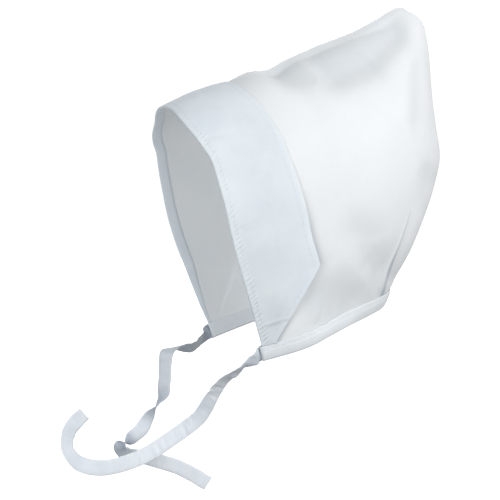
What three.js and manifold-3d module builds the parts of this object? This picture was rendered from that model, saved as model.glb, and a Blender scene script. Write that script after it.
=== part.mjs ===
// Linen coif, in millimetres, +Z up, the face toward -Y and the wearer's left toward +X.
// The origin is the spot inside the crown that sits on top of a head.
import * as THREE from 'three';
import ManifoldModule from 'manifold-3d';

// Overall form
const SIDE_LENGTH = 228; // front edge of the brim to the back, seen from the side
const SIDE_HEIGHT = 282; // lower front corner of the band to the peak
const HALF_WIDTH = 84; // widest place, from the middle

// Cloth thicknesses and the clearances between layers
const CROWN_WALL = 1.2;
const BRIM_WALL = 1.3;
const BAND_WALL = 1.2;
const TIE_WALL = 1;
const LAYER_GAP = 0.35;
const TIE_GAP = 0.3; // between a tie and the end of the band

// Brim
const BRIM_WIDTH = 60; // widest place, front edge to free back edge
const FACING_WIDTH = 8; // narrow turned-in part inside the front edge
const RIGHT_FORWARD = 7.6; // how much further forward the right front edge stands
const FORWARD_FROM = 0.5; // share of HALF_WIDTH where that starts
const FORWARD_FULL = 0.8; // and where it is complete
const BRIM_LIFT = 2.2; // how far the free back edge stands off the crown
const LIFT_LOSS = 0.6; // share of that lift lost at the brim's lower corner
const BRIM_HEM_GAP = 0.45; // brim's lower edge above the band
const PUCKER_HEIGHT = 0.5; // ripple along the front edge
const PUCKER_TURN = 2.4; // radians of ripple from one ring of the brim to the next

// Band and ties
const BAND_HEIGHT = 11; // crown hem to the band's top edge
const BAND_ROOM = 1; // slot beyond the crown's front edge
const BAND_END = 1.2; // closed end of the slot
const TIE_WIDTH = 12.5;

// Dents and folds of the crown and of the brim
const DENT_WIDTH = 12;
const DENT_DEPTH = 5;
const RIDGE_CALM = 10; // folds fade out within this distance of the middle

// Shape of the ridge and of the back
const RIDGE_REACH = 0.45; // share of a section's height taken by its rounded top
const RIDGE_ROUNDNESS = 2.2; // power of that rounding at the front
const PEAK_ROUNDNESS = 1.8; // and at the back
const BACK_REACH_TOP = 0.55; // share of the length taken by the rounded back
const BACK_REACH_HEM = 0.8;

// Grid lines
const BRIM_CELLS = 7;
const REAR_CELLS = 15;
const WALL_CELLS = 21;
const BAND_CELLS = 2;
const RIDGE_CROWDING = 1.5;
const BACK_CROWDING = 1.6;

const table = (columns, rows) =>
  rows.map((row) => Object.fromEntries(columns.map((column, k) => [column, row[k]])));

// Side outlines: back is a share of SIDE_LENGTH and up of SIDE_HEIGHT
const RIDGE_LINE = table(['back', 'up'], [
  [-0.502, -0.086], [-0.41, -0.052], [-0.332, -0.032], [-0.272, -0.021],
  [-0.23, -0.003], [-0.185, 0.01], [-0.125, 0.013], [-0.068, 0.037],
  [0, 0.062], [0.076, 0.087], [0.2, 0.124], [0.27, 0.151],
  [0.345, 0.185], [0.388, 0.1985], [0.414, 0.19],
]);
const BACK_LINE = table(['back', 'up'], [
  [0.414, 0.19], [0.452, 0.174], [0.477, 0.151], [0.487, 0.1], [0.492, 0.05],
  [0.501, -0.071], [0.513, -0.15], [0.526, -0.215], [0.526, -0.256],
  [0.508, -0.326], [0.488, -0.375], [0.406, -0.527], [0.35, -0.604],
  [0.333, -0.625], [0.315, -0.667],
]);
const HEM_LINE = table(['back', 'up'], [
  [-0.2215, -0.787], [-0.134, -0.767], [-0.059, -0.748],
  [0.014, -0.726], [0.079, -0.709], [0.158, -0.69], [0.225, -0.678],
  [0.315, -0.667],
]);
const FRONT_LINE = table(['back', 'up'], [
  [-0.502, -0.086], [-0.49, -0.122], [-0.462, -0.165], [-0.441, -0.196],
  [-0.421, -0.227], [-0.405, -0.283], [-0.386, -0.349], [-0.365, -0.427],
  [-0.337, -0.506], [-0.298, -0.597], [-0.26, -0.685], [-0.23, -0.755],
  [-0.2215, -0.787],
]);

// Fullness of the sections, a row per section from the front edge to the back, as shares of HALF_WIDTH.
// The rounded top and back narrow them further.
const FULLNESS = table(['at', 'top', 'upper', 'middle', 'lower', 'hem'], [
  [0, 0.93, 0.93, 0.94, 0.86, 0.71],
  [0.25, 0.98, 0.99, 1, 0.94, 0.8],
  [0.5, 0.96, 1, 1, 0.95, 0.8],
  [0.75, 0.9, 1, 1, 0.95, 0.8],
  [1, 0.8, 0.95, 1, 0.95, 0.8],
]);
const FULLNESS_LEVELS = table(['name', 'down'], [
  ['top', 0], ['upper', 0.25], ['middle', 0.5], ['lower', 0.75], ['hem', 1],
]);

// Brim width from the ridge down to the band, as shares of BRIM_WIDTH
const BRIM_EDGE = table(['down', 'width'], [
  [0, 0.895], [0.03, 0.935], [0.08, 0.97], [0.15, 0.96], [0.2, 0.94], [0.35, 0.966],
  [0.486, 0.995], [0.545, 0.98], [0.606, 0.975], [0.692, 0.972], [0.735, 0.81],
  [0.8, 0.58], [0.9, 0.27], [0.95, 0.183], [1, 0.183],
]);

// Folds: a valley (deep above 0) or a swelling (below 0) between two places seen from the side,
// back a share of SIDE_LENGTH, up of SIDE_HEIGHT, wide of DENT_WIDTH, deep of DENT_DEPTH.
// Side 1 is the wearer's left, -1 the right, 0 both.
const FOLDS = table(['backA', 'upA', 'backB', 'upB', 'wide', 'deep', 'side'], [
  [-0.11, 0.008, 0.05, 0.02, 0.9, 1, 0],
  [0.05, 0.02, 0.18, 0.052, 1.3, 1.9, 0],
  [0.18, 0.052, 0.33, 0.135, 1.2, 1.6, 0],
  [0.394, 0.02, 0.355, -0.13, 0.8, 0.45, 0],
  [0.396, -0.28, 0.41, -0.3, 0.8, 0.5, 1],
  [0.09, -0.43, 0.13, -0.455, 1.3, 0.7, 1],
  [0.17, -0.52, 0.21, -0.55, 1.3, 1, 1],
  [0.12, -0.47, 0.18, -0.52, 1.6, 0.7, -1],
  [0.232, -0.6, 0.31, -0.41, 0.6, 0.8, 0],
  [0.28, -0.59, 0.36, -0.42, 0.8, -0.5, 0],
  [-0.05, -0.62, 0.06, -0.63, 1.8, 0.8, 0],
  [-0.04, -0.69, -0.035, -0.685, 0.6, 0.5, 1],
]);

// Ties: the middle of the cloth in millimetres and the direction across it
const TIE_LEFT_ROUTE = table(['x', 'y', 'z', 'acrossX', 'acrossY', 'acrossZ'], [
  [60.5, -58, -221.5, 0.7, 0.1, 0.7],
  [57.5, -62.5, -225.5, 0.95, 0, 0.25],
  [52, -68, -230, 0.95, -0.25, 0.15],
  [45, -71.5, -235, 0.85, -0.5, 0.25],
  [31, -77, -245, 0.62, -0.75, 0.22],
  [21, -83, -259, 0.37, -0.81, 0.46],
  [15, -90, -274, -0.1, -0.8, 0.59],
  [12, -103, -285, -0.26, -0.54, 0.8],
  [11, -117, -294, -0.25, -0.5, 0.83],
  [11, -131, -302, -0.24, -0.45, 0.86],
  [12, -148, -308, -0.2, -0.35, 0.91],
  [13, -166, -311, -0.1, -0.15, 0.98],
  [13, -179, -310, -0.3, 0.1, 0.95],
  [12, -188.5, -306.5, -0.4, 0.3, 0.86],
  [10, -194.5, -301, -0.55, 0.6, 0.55],
  [8, -198, -293, -0.5, 0.85, 0.1],
  [6, -196, -282, -0.3, 0.95, -0.12],
  [5, -191, -275, -0.1, 0.95, -0.27],
  [4, -183, -268, -0.16, 0.82, -0.54],
]);
const TIE_RIGHT_ROUTE = table(['x', 'y', 'z', 'acrossX', 'acrossY', 'acrossZ'], [
  [-59, -64.5, -222, 0.3, 0.1, 0.9],
  [-54, -71, -225.5, 0.6, 0.35, 0.7],
  [-46, -79, -228, 0.75, 0.55, 0.35],
  [-33, -96, -225.5, 0.75, 0.6, 0.1],
  [-23, -107.5, -227, 0.65, 0.72, -0.1],
  [-20, -110, -238, 0.72, 0.68, 0.12],
  [-19, -111, -251, 0.71, 0.63, 0.31],
  [-19, -112.5, -262, 0.65, 0.62, 0.44],
  [-18, -118, -270, 0.66, 0.65, 0.38],
  [-17, -125, -279, 0.75, 0.6, 0.25],
  [-16, -131, -288, 0.5, 0.8, 0.1],
  [-16, -139.5, -295, 0.8, 0.55, -0.2],
  [-16, -149, -302.5, 0.92, 0.35, 0.1],
  [-17, -143, -309.5, 0.8, 0.3, 0.5],
  [-17, -127, -313.5, 0.5, 0.25, 0.85],
  [-17, -114, -318, 0.46, 0.15, 0.87],
  [-17, -99, -324, 0.55, 0.3, 0.78],
  [-16, -87, -331, 0.3, 0.5, 0.8],
  [-15, -75, -339, 0.5, 0.4, 0.76],
]);
const TIE_STEPS = 46;
const TIE_HEM = 0.25; // share of the thickness that the side edges are rounded by

// Smooth lines

// Interpolates values at rising places with a smooth curve through all of them.
function smoothAt(places, values, at) {
  const last = places.length - 1;
  if (at <= places[0]) return values[0];
  if (at >= places[last]) return values[last];
  let k = 0;
  while (places[k + 1] < at) k += 1;
  const slope = (j) => {
    const a = Math.max(0, j - 1);
    const b = Math.min(last, j + 1);
    return (values[b] - values[a]) / (places[b] - places[a]);
  };
  const span = places[k + 1] - places[k];
  const f = (at - places[k]) / span;
  const start = (2 * f - 3) * f * f + 1;
  return start * values[k] + (1 - start) * values[k + 1]
    + span * ((f - 2) * f + 1) * f * slope(k) + span * (f - 1) * f * f * slope(k + 1);
}

const columnAt = (rows, from, column, at) =>
  smoothAt(rows.map((row) => row[from]), rows.map((row) => row[column]), at);

// A line through given points that is read by its share of length.
function measuredLine(points) {
  const chords = [0];
  points.slice(1).forEach((p, k) => chords.push(chords[k] + p.distanceTo(points[k])));
  const through = (at) => new THREE.Vector3(
    ...['x', 'y', 'z'].map((axis) => smoothAt(chords, points.map((p) => p[axis]), at)),
  );
  const fine = Array.from({ length: 241 }, (_, k) => through((chords.at(-1) * k) / 240));
  const lengths = [0];
  fine.slice(1).forEach((p, k) => lengths.push(lengths[k] + p.distanceTo(fine[k])));
  const total = lengths.at(-1);
  const line = (share) => {
    const want = Math.min(Math.max(share, 0), 1) * total;
    let k = 0;
    while (k < lengths.length - 2 && lengths[k + 1] < want) k += 1;
    return fine[k].clone().lerp(fine[k + 1], (want - lengths[k]) / (lengths[k + 1] - lengths[k]));
  };
  line.total = total;
  return line;
}

const sideLine = (rows) => measuredLine(
  rows.map(({ back, up }) => new THREE.Vector3(0, back * SIDE_LENGTH, up * SIDE_HEIGHT)),
);
const ridgeLine = sideLine(RIDGE_LINE);
const backLine = sideLine(BACK_LINE);
const hemLine = sideLine(HEM_LINE);
const frontLine = sideLine(FRONT_LINE);

// The form

// Side view place for a share s from front to back and a share t from ridge to hem.
function sidePlace(s, t) {
  const across = ridgeLine(s).multiplyScalar(1 - t).addScaledVector(hemLine(s), t);
  const down = frontLine(t).multiplyScalar(1 - s).addScaledVector(backLine(t), s);
  const corners = ridgeLine(0).multiplyScalar((1 - s) * (1 - t))
    .addScaledVector(ridgeLine(1), s * (1 - t))
    .addScaledVector(hemLine(0), (1 - s) * t)
    .addScaledVector(hemLine(1), s * t);
  return across.add(down).sub(corners);
}

const rounded = (share, power) => {
  const rest = 1 - Math.min(Math.max(share, 0), 1);
  return (1 - rest ** power) ** (1 / power);
};

function halfWidth(s, t) {
  const levels = FULLNESS_LEVELS.map(({ name }) => columnAt(FULLNESS, 'at', name, s));
  const full = smoothAt(FULLNESS_LEVELS.map(({ down }) => down), levels, t);
  const backReach = BACK_REACH_TOP + (BACK_REACH_HEM - BACK_REACH_TOP) * t * t;
  const roundness = RIDGE_ROUNDNESS + (PEAK_ROUNDNESS - RIDGE_ROUNDNESS) * s;
  return HALF_WIDTH * full * rounded(t / RIDGE_REACH, roundness) * rounded((1 - s) / backReach, 2);
}

// Depth of the deepest valley and of the highest swelling at a place seen from the side.
function foldDepth(back, up, side) {
  let valley = 0;
  let swelling = 0;
  for (const fold of FOLDS) {
    if (fold.side * side < 0) continue;
    const ax = fold.backA * SIDE_LENGTH;
    const ay = fold.upA * SIDE_HEIGHT;
    const bx = fold.backB * SIDE_LENGTH - ax;
    const by = fold.upB * SIDE_HEIGHT - ay;
    const along = Math.min(Math.max(((back - ax) * bx + (up - ay) * by) / (bx * bx + by * by), 0), 1);
    const away = Math.hypot(back - ax - along * bx, up - ay - along * by) / (fold.wide * DENT_WIDTH);
    const depth = fold.deep * DENT_DEPTH * Math.exp(-away * away);
    valley = Math.max(valley, depth);
    swelling = Math.min(swelling, depth);
  }
  return { valley, swelling };
}

// Share s of the brim's free edge at a share t down.
function brimShare(t) {
  const front = sidePlace(0, t);
  const length = front.distanceTo(sidePlace(0.5, t)) * 2;
  return (columnAt(BRIM_EDGE, 'down', 'width', t) * BRIM_WIDTH) / length;
}

const ACROSS = WALL_CELLS + BAND_CELLS; // cells from the ridge to the hem
const ALONG = BRIM_CELLS + REAR_CELLS; // cells from the front edge to the back

// Shares of grid line i from the front and j from the ridge.
function gridShares(i, j) {
  const row = Math.abs(j);
  const bandShare = BAND_HEIGHT / frontLine.total;
  const t = row <= WALL_CELLS
    ? (1 - bandShare) * (row / WALL_CELLS) ** RIDGE_CROWDING
    : 1 - bandShare * (1 - (row - WALL_CELLS) / BAND_CELLS);
  const edge = brimShare(t);
  if (i > BRIM_CELLS) {
    const rest = 1 - (i - BRIM_CELLS) / REAR_CELLS;
    return [1 - (1 - edge) * rest ** BACK_CROWDING, t];
  }
  const facing = Math.min(edge * 0.3, (edge * FACING_WIDTH) / BRIM_WIDTH);
  return [i === 0 ? 0 : facing + ((edge - facing) * (i - 1)) / (BRIM_CELLS - 1), t];
}

// The smooth cloth form, a point for each grid line from front to back and from hem over ridge to hem.
const smooth = [];
for (let i = 0; i <= ALONG; i += 1) {
  smooth.push([]);
  for (let j = -ACROSS; j <= ACROSS; j += 1) {
    const [s, t] = gridShares(i, j);
    const point = sidePlace(s, t);
    point.x = Math.sign(j) * halfWidth(s, t);
    const right = THREE.MathUtils.smoothstep(-point.x / HALF_WIDTH, FORWARD_FROM, FORWARD_FULL);
    point.y -= RIGHT_FORWARD * (1 - s) ** 2 * right;
    smooth[i].push(point);
  }
}

// Outward direction at a grid point; the two halves meet along the back.
function outward(grid, i, j) {
  const pick = (a, b) => {
    const row = Math.min(Math.max(b, -ACROSS), ACROSS);
    return a > ALONG ? grid[2 * ALONG - a][ACROSS - row] : grid[Math.max(a, 0)][ACROSS + row];
  };
  const back = pick(i + 1, j).clone().sub(pick(i - 1, j));
  const over = pick(i, j + 1).clone().sub(pick(i, j - 1));
  if (i === ALONG) {
    const mirrored = pick(ALONG - 1, -j).clone().sub(pick(ALONG - 1, j));
    const down = pick(i, j === 0 ? 1 : j + Math.sign(j)).clone().sub(pick(i, j - Math.sign(j)));
    const normal = mirrored.cross(down);
    normal.x = 0;
    if (j === 0) return new THREE.Vector3(0, 0.45, 1).normalize();
    return normal.multiplyScalar(normal.y < 0 ? -1 : 1).normalize();
  }
  const normal = over.cross(back).normalize();
  if (j === 0) normal.x = 0;
  return normal.normalize();
}

// The crown's form has its folds, and under the brim only the valleys, which fade out to the front.
const folded = smooth.map((line, i) => line.map((point, k) => {
  const j = k - ACROSS;
  const near = Math.min(Math.abs(point.x) / RIDGE_CALM, 1);
  const { valley, swelling } = foldDepth(point.y, point.z, Math.sign(j));
  const under = Math.min(Math.max((i - 1) / (BRIM_CELLS - 1), 0), 1) ** 2;
  const depth = valley * under + (i > BRIM_CELLS ? swelling : 0);
  return point.clone().addScaledVector(outward(smooth, i, j), -depth * near * near * (3 - 2 * near));
}));

// A grid of places with their outward directions, read at a distance from the cloth.
function layerOf(grid) {
  const normals = grid.map((line, i) => line.map((_, k) => outward(grid, i, k - ACROSS)));
  return {
    place: (i, j) => grid[i][j + ACROSS],
    offset: (i, j, distance) =>
      grid[i][j + ACROSS].clone().addScaledVector(normals[i][j + ACROSS], distance),
  };
}
const crownForm = layerOf(folded);
const brimForm = layerOf(smooth);

// Mesh helpers

class Skin {
  constructor() {
    this.positions = [];
    this.faces = [];
  }

  point(p) {
    this.positions.push(p.x, p.y, p.z);
    return this.positions.length / 3 - 1;
  }

  quad(a, b, c, d) {
    for (const [p, q, r] of [[a, b, c], [a, c, d]]) {
      if (p !== q && q !== r && r !== p) this.faces.push(p, q, r);
    }
  }

  geometry() {
    const geometry = new THREE.BufferGeometry();
    geometry.setAttribute('position', new THREE.Float32BufferAttribute(this.positions, 3));
    geometry.setIndex(this.faces);
    geometry.computeVertexNormals();
    return geometry;
  }
}

// Closed rings of points joined one after another; turned picks the other diagonal of a cell.
function ringLoft(rings, turned = () => false) {
  const skin = new Skin();
  const ids = rings.map((ring) => ring.map((p) => skin.point(p)));
  const count = rings[0].length;
  for (let k = 0; k + 1 < ids.length; k += 1) {
    for (let n = 0; n < count; n += 1) {
      const m = (n + 1) % count;
      const cell = [ids[k][n], ids[k][m], ids[k + 1][m], ids[k + 1][n]];
      if (turned(k, n)) cell.push(cell.shift());
      skin.quad(...cell);
    }
  }
  return { skin, ids };
}

function capRing(skin, ring, flip) {
  const points = ring.map((id) => new THREE.Vector3().fromArray(skin.positions, id * 3));
  const normal = new THREE.Vector3();
  points.forEach((p, k) => {
    const q = points[(k + 1) % points.length];
    normal.add(p.clone().cross(q));
  });
  normal.normalize();
  const side = points[1].clone().sub(points[0]).projectOnPlane(normal).normalize();
  const other = normal.clone().cross(side);
  const flat = points.map((p) => new THREE.Vector2(p.dot(side), p.dot(other)));
  for (const [a, b, c] of THREE.ShapeUtils.triangulateShape(flat, [])) {
    if (flip) skin.faces.push(ring[a], ring[c], ring[b]);
    else skin.faces.push(ring[a], ring[b], ring[c]);
  }
}

// Crown: two layers of the form joined at the front edge and the hem

function crownGeometry() {
  const skin = new Skin();
  const layer = (distance) => {
    const ids = [];
    for (let i = 0; i <= ALONG; i += 1) {
      ids.push([]);
      for (let j = -ACROSS; j <= ACROSS; j += 1) {
        const shared = i === ALONG && j > 0;
        ids[i].push(shared ? ids[i][ACROSS - j] : skin.point(crownForm.offset(i, j, distance)));
      }
    }
    return ids;
  };
  const outer = layer(0);
  const inner = layer(-CROWN_WALL);
  const wide = 2 * ACROSS;
  for (let i = 0; i < ALONG; i += 1) {
    for (let k = 0; k < wide; k += 1) {
      const turned = k < ACROSS;
      const [a, b, c, d] = turned
        ? [[i, k + 1], [i + 1, k + 1], [i + 1, k], [i, k]]
        : [[i, k], [i, k + 1], [i + 1, k + 1], [i + 1, k]];
      skin.quad(outer[a[0]][a[1]], outer[b[0]][b[1]], outer[c[0]][c[1]], outer[d[0]][d[1]]);
      skin.quad(inner[c[0]][c[1]], inner[b[0]][b[1]], inner[a[0]][a[1]], inner[d[0]][d[1]]);
    }
    skin.quad(outer[i][0], outer[i + 1][0], inner[i + 1][0], inner[i][0]);
    skin.quad(inner[i][wide], inner[i + 1][wide], outer[i + 1][wide], outer[i][wide]);
  }
  for (let k = 0; k < wide; k += 1) {
    skin.quad(outer[0][k + 1], outer[0][k], inner[0][k], inner[0][k + 1]);
  }
  return skin.geometry();
}

// Brim: an outer layer, a fold around the crown's front edge and a narrow facing inside it

function brimRing(j) {
  const down = Math.abs(j) / WALL_CELLS;
  const raise = Math.abs(j) === WALL_CELLS ? BRIM_HEM_GAP : 0;
  const { place, offset } = brimForm;
  const at = (i, distance) => {
    const up = place(i, j - Math.sign(j)).clone().sub(place(i, j)).normalize();
    return offset(i, j, distance).addScaledVector(up, raise);
  };
  const ahead = place(0, j).clone().sub(place(1, j)).normalize();
  const lift = (i) => {
    const share = Math.max(0, (i - 1) / (BRIM_CELLS - 1));
    const fade = 1 - LIFT_LOSS * down ** 6;
    return LAYER_GAP + BRIM_LIFT * share * share * fade;
  };
  const pucker = PUCKER_HEIGHT * Math.sin(j * PUCKER_TURN) * Math.min(1, down * 1.5);
  const middle = -CROWN_WALL / 2;
  const nose = (reach, angle) => at(0, middle + Math.sin(angle) * (reach + CROWN_WALL / 2))
    .addScaledVector(ahead, Math.cos(angle) * reach);
  const outside = [];
  const inside = [];
  for (let i = BRIM_CELLS; i >= 0; i -= 1) {
    outside.push(at(i, lift(i) + BRIM_WALL + (i > 0 && i < 3 ? pucker / i : 0)));
    inside.push(at(i, lift(i)));
  }
  const far = LAYER_GAP + BRIM_WALL;
  outside.push(nose(far, Math.PI / 4), nose(far, 0), nose(far, -Math.PI / 4));
  inside.push(nose(LAYER_GAP, 0));
  for (const i of [0, 1]) {
    outside.push(at(i, -CROWN_WALL - far));
    inside.push(at(i, -CROWN_WALL - LAYER_GAP));
  }
  return [...outside, ...inside.reverse()];
}

function brimGeometry() {
  const rings = [];
  for (let j = -WALL_CELLS; j <= WALL_CELLS; j += 1) rings.push(brimRing(j));
  const size = rings[0].length;
  const rises = (n) => n >= size - BRIM_CELLS - 1 || (n > BRIM_CELLS && n < size / 2);
  const { skin, ids } = ringLoft(rings, (k, n) => rises(n) !== k >= WALL_CELLS);
  const first = ids[0];
  const last = ids.at(-1);
  const half = first.length / 2;
  for (let n = 0; n + 1 < half; n += 1) {
    const m = first.length - 1 - n;
    skin.quad(first[n + 1], first[n], first[m], first[m - 1]);
    skin.quad(last[n], last[n + 1], last[m - 1], last[m]);
  }
  return skin.geometry();
}

// Neck band: a folded strip around the hem, with a slot for the crown

// Grid places along the hem from the left front corner around the nape to the right one.
const HEM_PLACES = [];
for (let i = 0; i <= ALONG; i += 1) HEM_PLACES.push([i, 1]);
for (let i = ALONG - 1; i >= 0; i -= 1) HEM_PLACES.push([i, -1]);

const bandDown = (i, side) => crownForm.place(i, side * ACROSS).clone()
  .sub(crownForm.place(i, side * WALL_CELLS)).normalize();

function bandRing(i, side, out, below, above) {
  const { offset } = crownForm;
  const down = bandDown(i, side);
  const inner = -CROWN_WALL - out;
  const ring = [];
  for (let row = WALL_CELLS; row <= ACROSS; row += 1) {
    ring.push(offset(i, side * row, out).addScaledVector(down, row === WALL_CELLS ? -above : 0));
  }
  for (const share of [0.45, -0.45]) {
    const middle = (out + inner) / 2;
    ring.push(offset(i, side * ACROSS, middle + (out - inner) * share).addScaledVector(down, below));
  }
  for (let row = ACROSS; row >= WALL_CELLS; row -= 1) {
    ring.push(offset(i, side * row, inner).addScaledVector(down, row === WALL_CELLS ? -above : 0));
  }
  return ring;
}

const centreOf = (ring) =>
  ring.reduce((sum, p) => sum.add(p), new THREE.Vector3()).divideScalar(ring.length);

// Moves the first and last ring forward past the crown's front edge, each onto one plane.
function pushEnds(rings, distance) {
  for (const [end, next] of [[rings[0], rings[1]], [rings.at(-1), rings.at(-2)]]) {
    const centre = centreOf(end);
    const ahead = centre.clone().sub(centreOf(next)).normalize();
    end.forEach((p) => p.addScaledVector(ahead, distance - p.clone().sub(centre).dot(ahead)));
  }
}

function bandRings(out, below, above, ahead) {
  const rings = HEM_PLACES.map(([i, side]) => bandRing(i, side, out, below, above));
  pushEnds(rings, ahead);
  return rings;
}

const bandOuter = bandRings(LAYER_GAP + BAND_WALL, LAYER_GAP + BAND_WALL, 0, BAND_ROOM + BAND_END);
const bandSlot = bandRings(LAYER_GAP, LAYER_GAP, 2, BAND_ROOM);

function toManifold(module, rings) {
  const half = rings[0].length / 2;
  const { skin, ids } = ringLoft(rings, (k, n) => n < half !== k < ALONG);
  capRing(skin, ids[0], true);
  capRing(skin, ids.at(-1), false);
  const mesh = new module.Mesh({
    numProp: 3,
    vertProperties: new Float32Array(skin.positions),
    triVerts: new Uint32Array(skin.faces),
  });
  return new module.Manifold(mesh);
}

function fromManifold(solid) {
  const mesh = solid.getMesh();
  const geometry = new THREE.BufferGeometry();
  geometry.setAttribute('position', new THREE.Float32BufferAttribute(Array.from(mesh.vertProperties), 3));
  geometry.setIndex(Array.from(mesh.triVerts));
  geometry.computeVertexNormals();
  return geometry;
}

// Ties: flat strips that go on from the ends of the band

function tieGeometry(routeRows, end, next) {
  const start = centreOf(end);
  const ahead = start.clone().sub(centreOf(next)).normalize();
  const endAcross = end[0].clone().sub(end[BAND_CELLS]).normalize();
  const points = [
    start.clone().addScaledVector(ahead, TIE_GAP),
    ...routeRows.map(({ x, y, z }) => new THREE.Vector3(x, y, z)),
  ];
  const across = [
    endAcross,
    ...routeRows.map((row) => new THREE.Vector3(row.acrossX, row.acrossY, row.acrossZ).normalize()),
  ];
  const places = [0];
  points.slice(1).forEach((p, k) => places.push(places[k] + p.distanceTo(points[k])));
  const read = (list, at) => new THREE.Vector3(
    ...['x', 'y', 'z'].map((axis) => smoothAt(places, list.map((p) => p[axis]), at)),
  );
  const rings = [];
  for (let k = 0; k <= TIE_STEPS; k += 1) {
    const at = (places.at(-1) * k) / TIE_STEPS;
    const middle = read(points, at);
    const tangent = k === 0
      ? ahead
      : read(points, at + 0.5).sub(read(points, at - 0.5)).normalize();
    const wide = read(across, at).projectOnPlane(tangent).normalize();
    const thick = tangent.clone().cross(wide);
    const corner = (w, h) => middle.clone()
      .addScaledVector(wide, w * TIE_WIDTH * 0.5)
      .addScaledVector(thick, h * TIE_WALL * 0.5);
    const edge = 1 - (TIE_HEM * TIE_WALL) / TIE_WIDTH;
    rings.push([
      corner(edge, 1), corner(0, 1), corner(-edge, 1), corner(-1, 0),
      corner(-edge, -1), corner(0, -1), corner(edge, -1), corner(1, 0),
    ]);
  }
  const { skin, ids } = ringLoft(rings);
  capRing(skin, ids[0], true);
  capRing(skin, ids.at(-1), false);
  return skin.geometry();
}

// Assembly

const module = await ManifoldModule();
module.setup();

const linen = (colour, roughness) =>
  new THREE.MeshStandardMaterial({ color: colour, roughness, metalness: 0, side: THREE.DoubleSide });

const object = new THREE.Group();
object.name = 'linen_coif';
function add(name, geometry, material) {
  const mesh = new THREE.Mesh(geometry, material);
  mesh.name = name;
  object.add(mesh);
}

add('crown', crownGeometry(), linen(0xf0f1ee, 0.9));
add('brim', brimGeometry(), linen(0xebeeef, 0.85));
add(
  'neck_band',
  fromManifold(toManifold(module, bandOuter).subtract(toManifold(module, bandSlot))),
  linen(0xe4e8ea, 0.88),
);
add('tie_left', tieGeometry(TIE_LEFT_ROUTE, bandOuter[0], bandOuter[1]), linen(0xe2e6ea, 0.88));
add('tie_right', tieGeometry(TIE_RIGHT_ROUTE, bandOuter.at(-1), bandOuter.at(-2)), linen(0xe2e6ea, 0.88));

export default object;
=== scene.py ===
"""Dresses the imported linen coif: sewn cloth, folds, hems, stitches and ties in a plain pale studio.

Lengths are in metres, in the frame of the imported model: +Z up, the face toward -Y and the wearer's left
toward +X. A place on the cloth is given by grid lines: i runs from the front edge (0) over the brim's
free edge (7) to the back (22), and j from the ridge (0) down to the hem (23 on the left, -23 on the right).
"""

import logging
import math
from dataclasses import dataclass, field
from enum import Enum
from typing import NamedTuple, Sequence

import bmesh
import bpy
import numpy as np
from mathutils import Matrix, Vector


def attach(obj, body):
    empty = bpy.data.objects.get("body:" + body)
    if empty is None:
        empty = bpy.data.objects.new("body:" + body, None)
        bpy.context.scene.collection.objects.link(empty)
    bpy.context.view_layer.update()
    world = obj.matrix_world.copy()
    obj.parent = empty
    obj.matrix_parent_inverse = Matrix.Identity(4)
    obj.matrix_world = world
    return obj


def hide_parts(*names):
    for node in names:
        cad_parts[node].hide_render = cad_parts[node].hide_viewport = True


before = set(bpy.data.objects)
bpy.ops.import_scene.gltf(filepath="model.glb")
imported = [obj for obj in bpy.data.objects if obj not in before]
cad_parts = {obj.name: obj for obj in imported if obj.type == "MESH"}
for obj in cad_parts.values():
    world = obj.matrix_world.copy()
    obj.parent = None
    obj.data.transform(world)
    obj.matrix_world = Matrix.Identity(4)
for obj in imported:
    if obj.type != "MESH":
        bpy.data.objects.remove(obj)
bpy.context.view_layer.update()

LOG = logging.getLogger("linen_coif")
MM = 0.001
LATTICE = 64  # random values along each side of the square that patches repeat


class SidePoint(NamedTuple):
    """A point of a side outline: back a share of the side length, up a share of the side height."""

    back: float
    up: float


class Fold(NamedTuple):
    """A valley (deep above 0) or a swelling (below 0) between two places seen from the side.

    The places are shares of the side length and height, wide a share of the dent width and deep a share
    of the dent depth. Side 1 is the wearer's left, -1 the right and 0 both.
    """

    back_a: float
    up_a: float
    back_b: float
    up_b: float
    wide: float
    deep: float
    side: int


class Crease(NamedTuple):
    """A sharp fold in millimetres between two places of the side view, in millimetres too.

    Deep is the depth of the valley, wide its half width on the far side and lip the height of the cloth
    beside it, which lies toward the front and the top.
    """

    back_a: float
    up_a: float
    back_b: float
    up_b: float
    wide: float
    deep: float
    lip: float
    side: int


class EdgePoint(NamedTuple):
    """A place down the brim, from 0 at the ridge to 1 at the band, and its share of the full width there."""

    down: float
    width: float


class PleatPoint(NamedTuple):
    """The long pleat at one height of the side view, in millimetres.

    Deep is the depth of the cloth behind the pleat below the cloth before it, wide the width of the step
    between them, and panel how far behind it the cloth comes up again.
    """

    up: float
    back: float
    deep: float
    wide: float
    panel: float


RIDGE_LINE = [SidePoint(*row) for row in (
    (-0.502, -0.086), (-0.41, -0.052), (-0.332, -0.032), (-0.272, -0.021), (-0.23, -0.003),
    (-0.185, 0.01), (-0.125, 0.013), (-0.068, 0.037), (0, 0.062), (0.076, 0.087), (0.2, 0.124),
    (0.27, 0.151), (0.345, 0.185), (0.388, 0.1985), (0.414, 0.19),
)]
BACK_LINE = [SidePoint(*row) for row in (
    (0.414, 0.19), (0.452, 0.174), (0.477, 0.151), (0.487, 0.1), (0.492, 0.05), (0.501, -0.071),
    (0.513, -0.15), (0.526, -0.215), (0.526, -0.256), (0.508, -0.326), (0.488, -0.375),
    (0.406, -0.527), (0.35, -0.604), (0.333, -0.625), (0.315, -0.667),
)]
HEM_LINE = [SidePoint(*row) for row in (
    (-0.2215, -0.787), (-0.134, -0.767), (-0.059, -0.748), (0.014, -0.726), (0.079, -0.709),
    (0.158, -0.69), (0.225, -0.678), (0.315, -0.667),
)]
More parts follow.
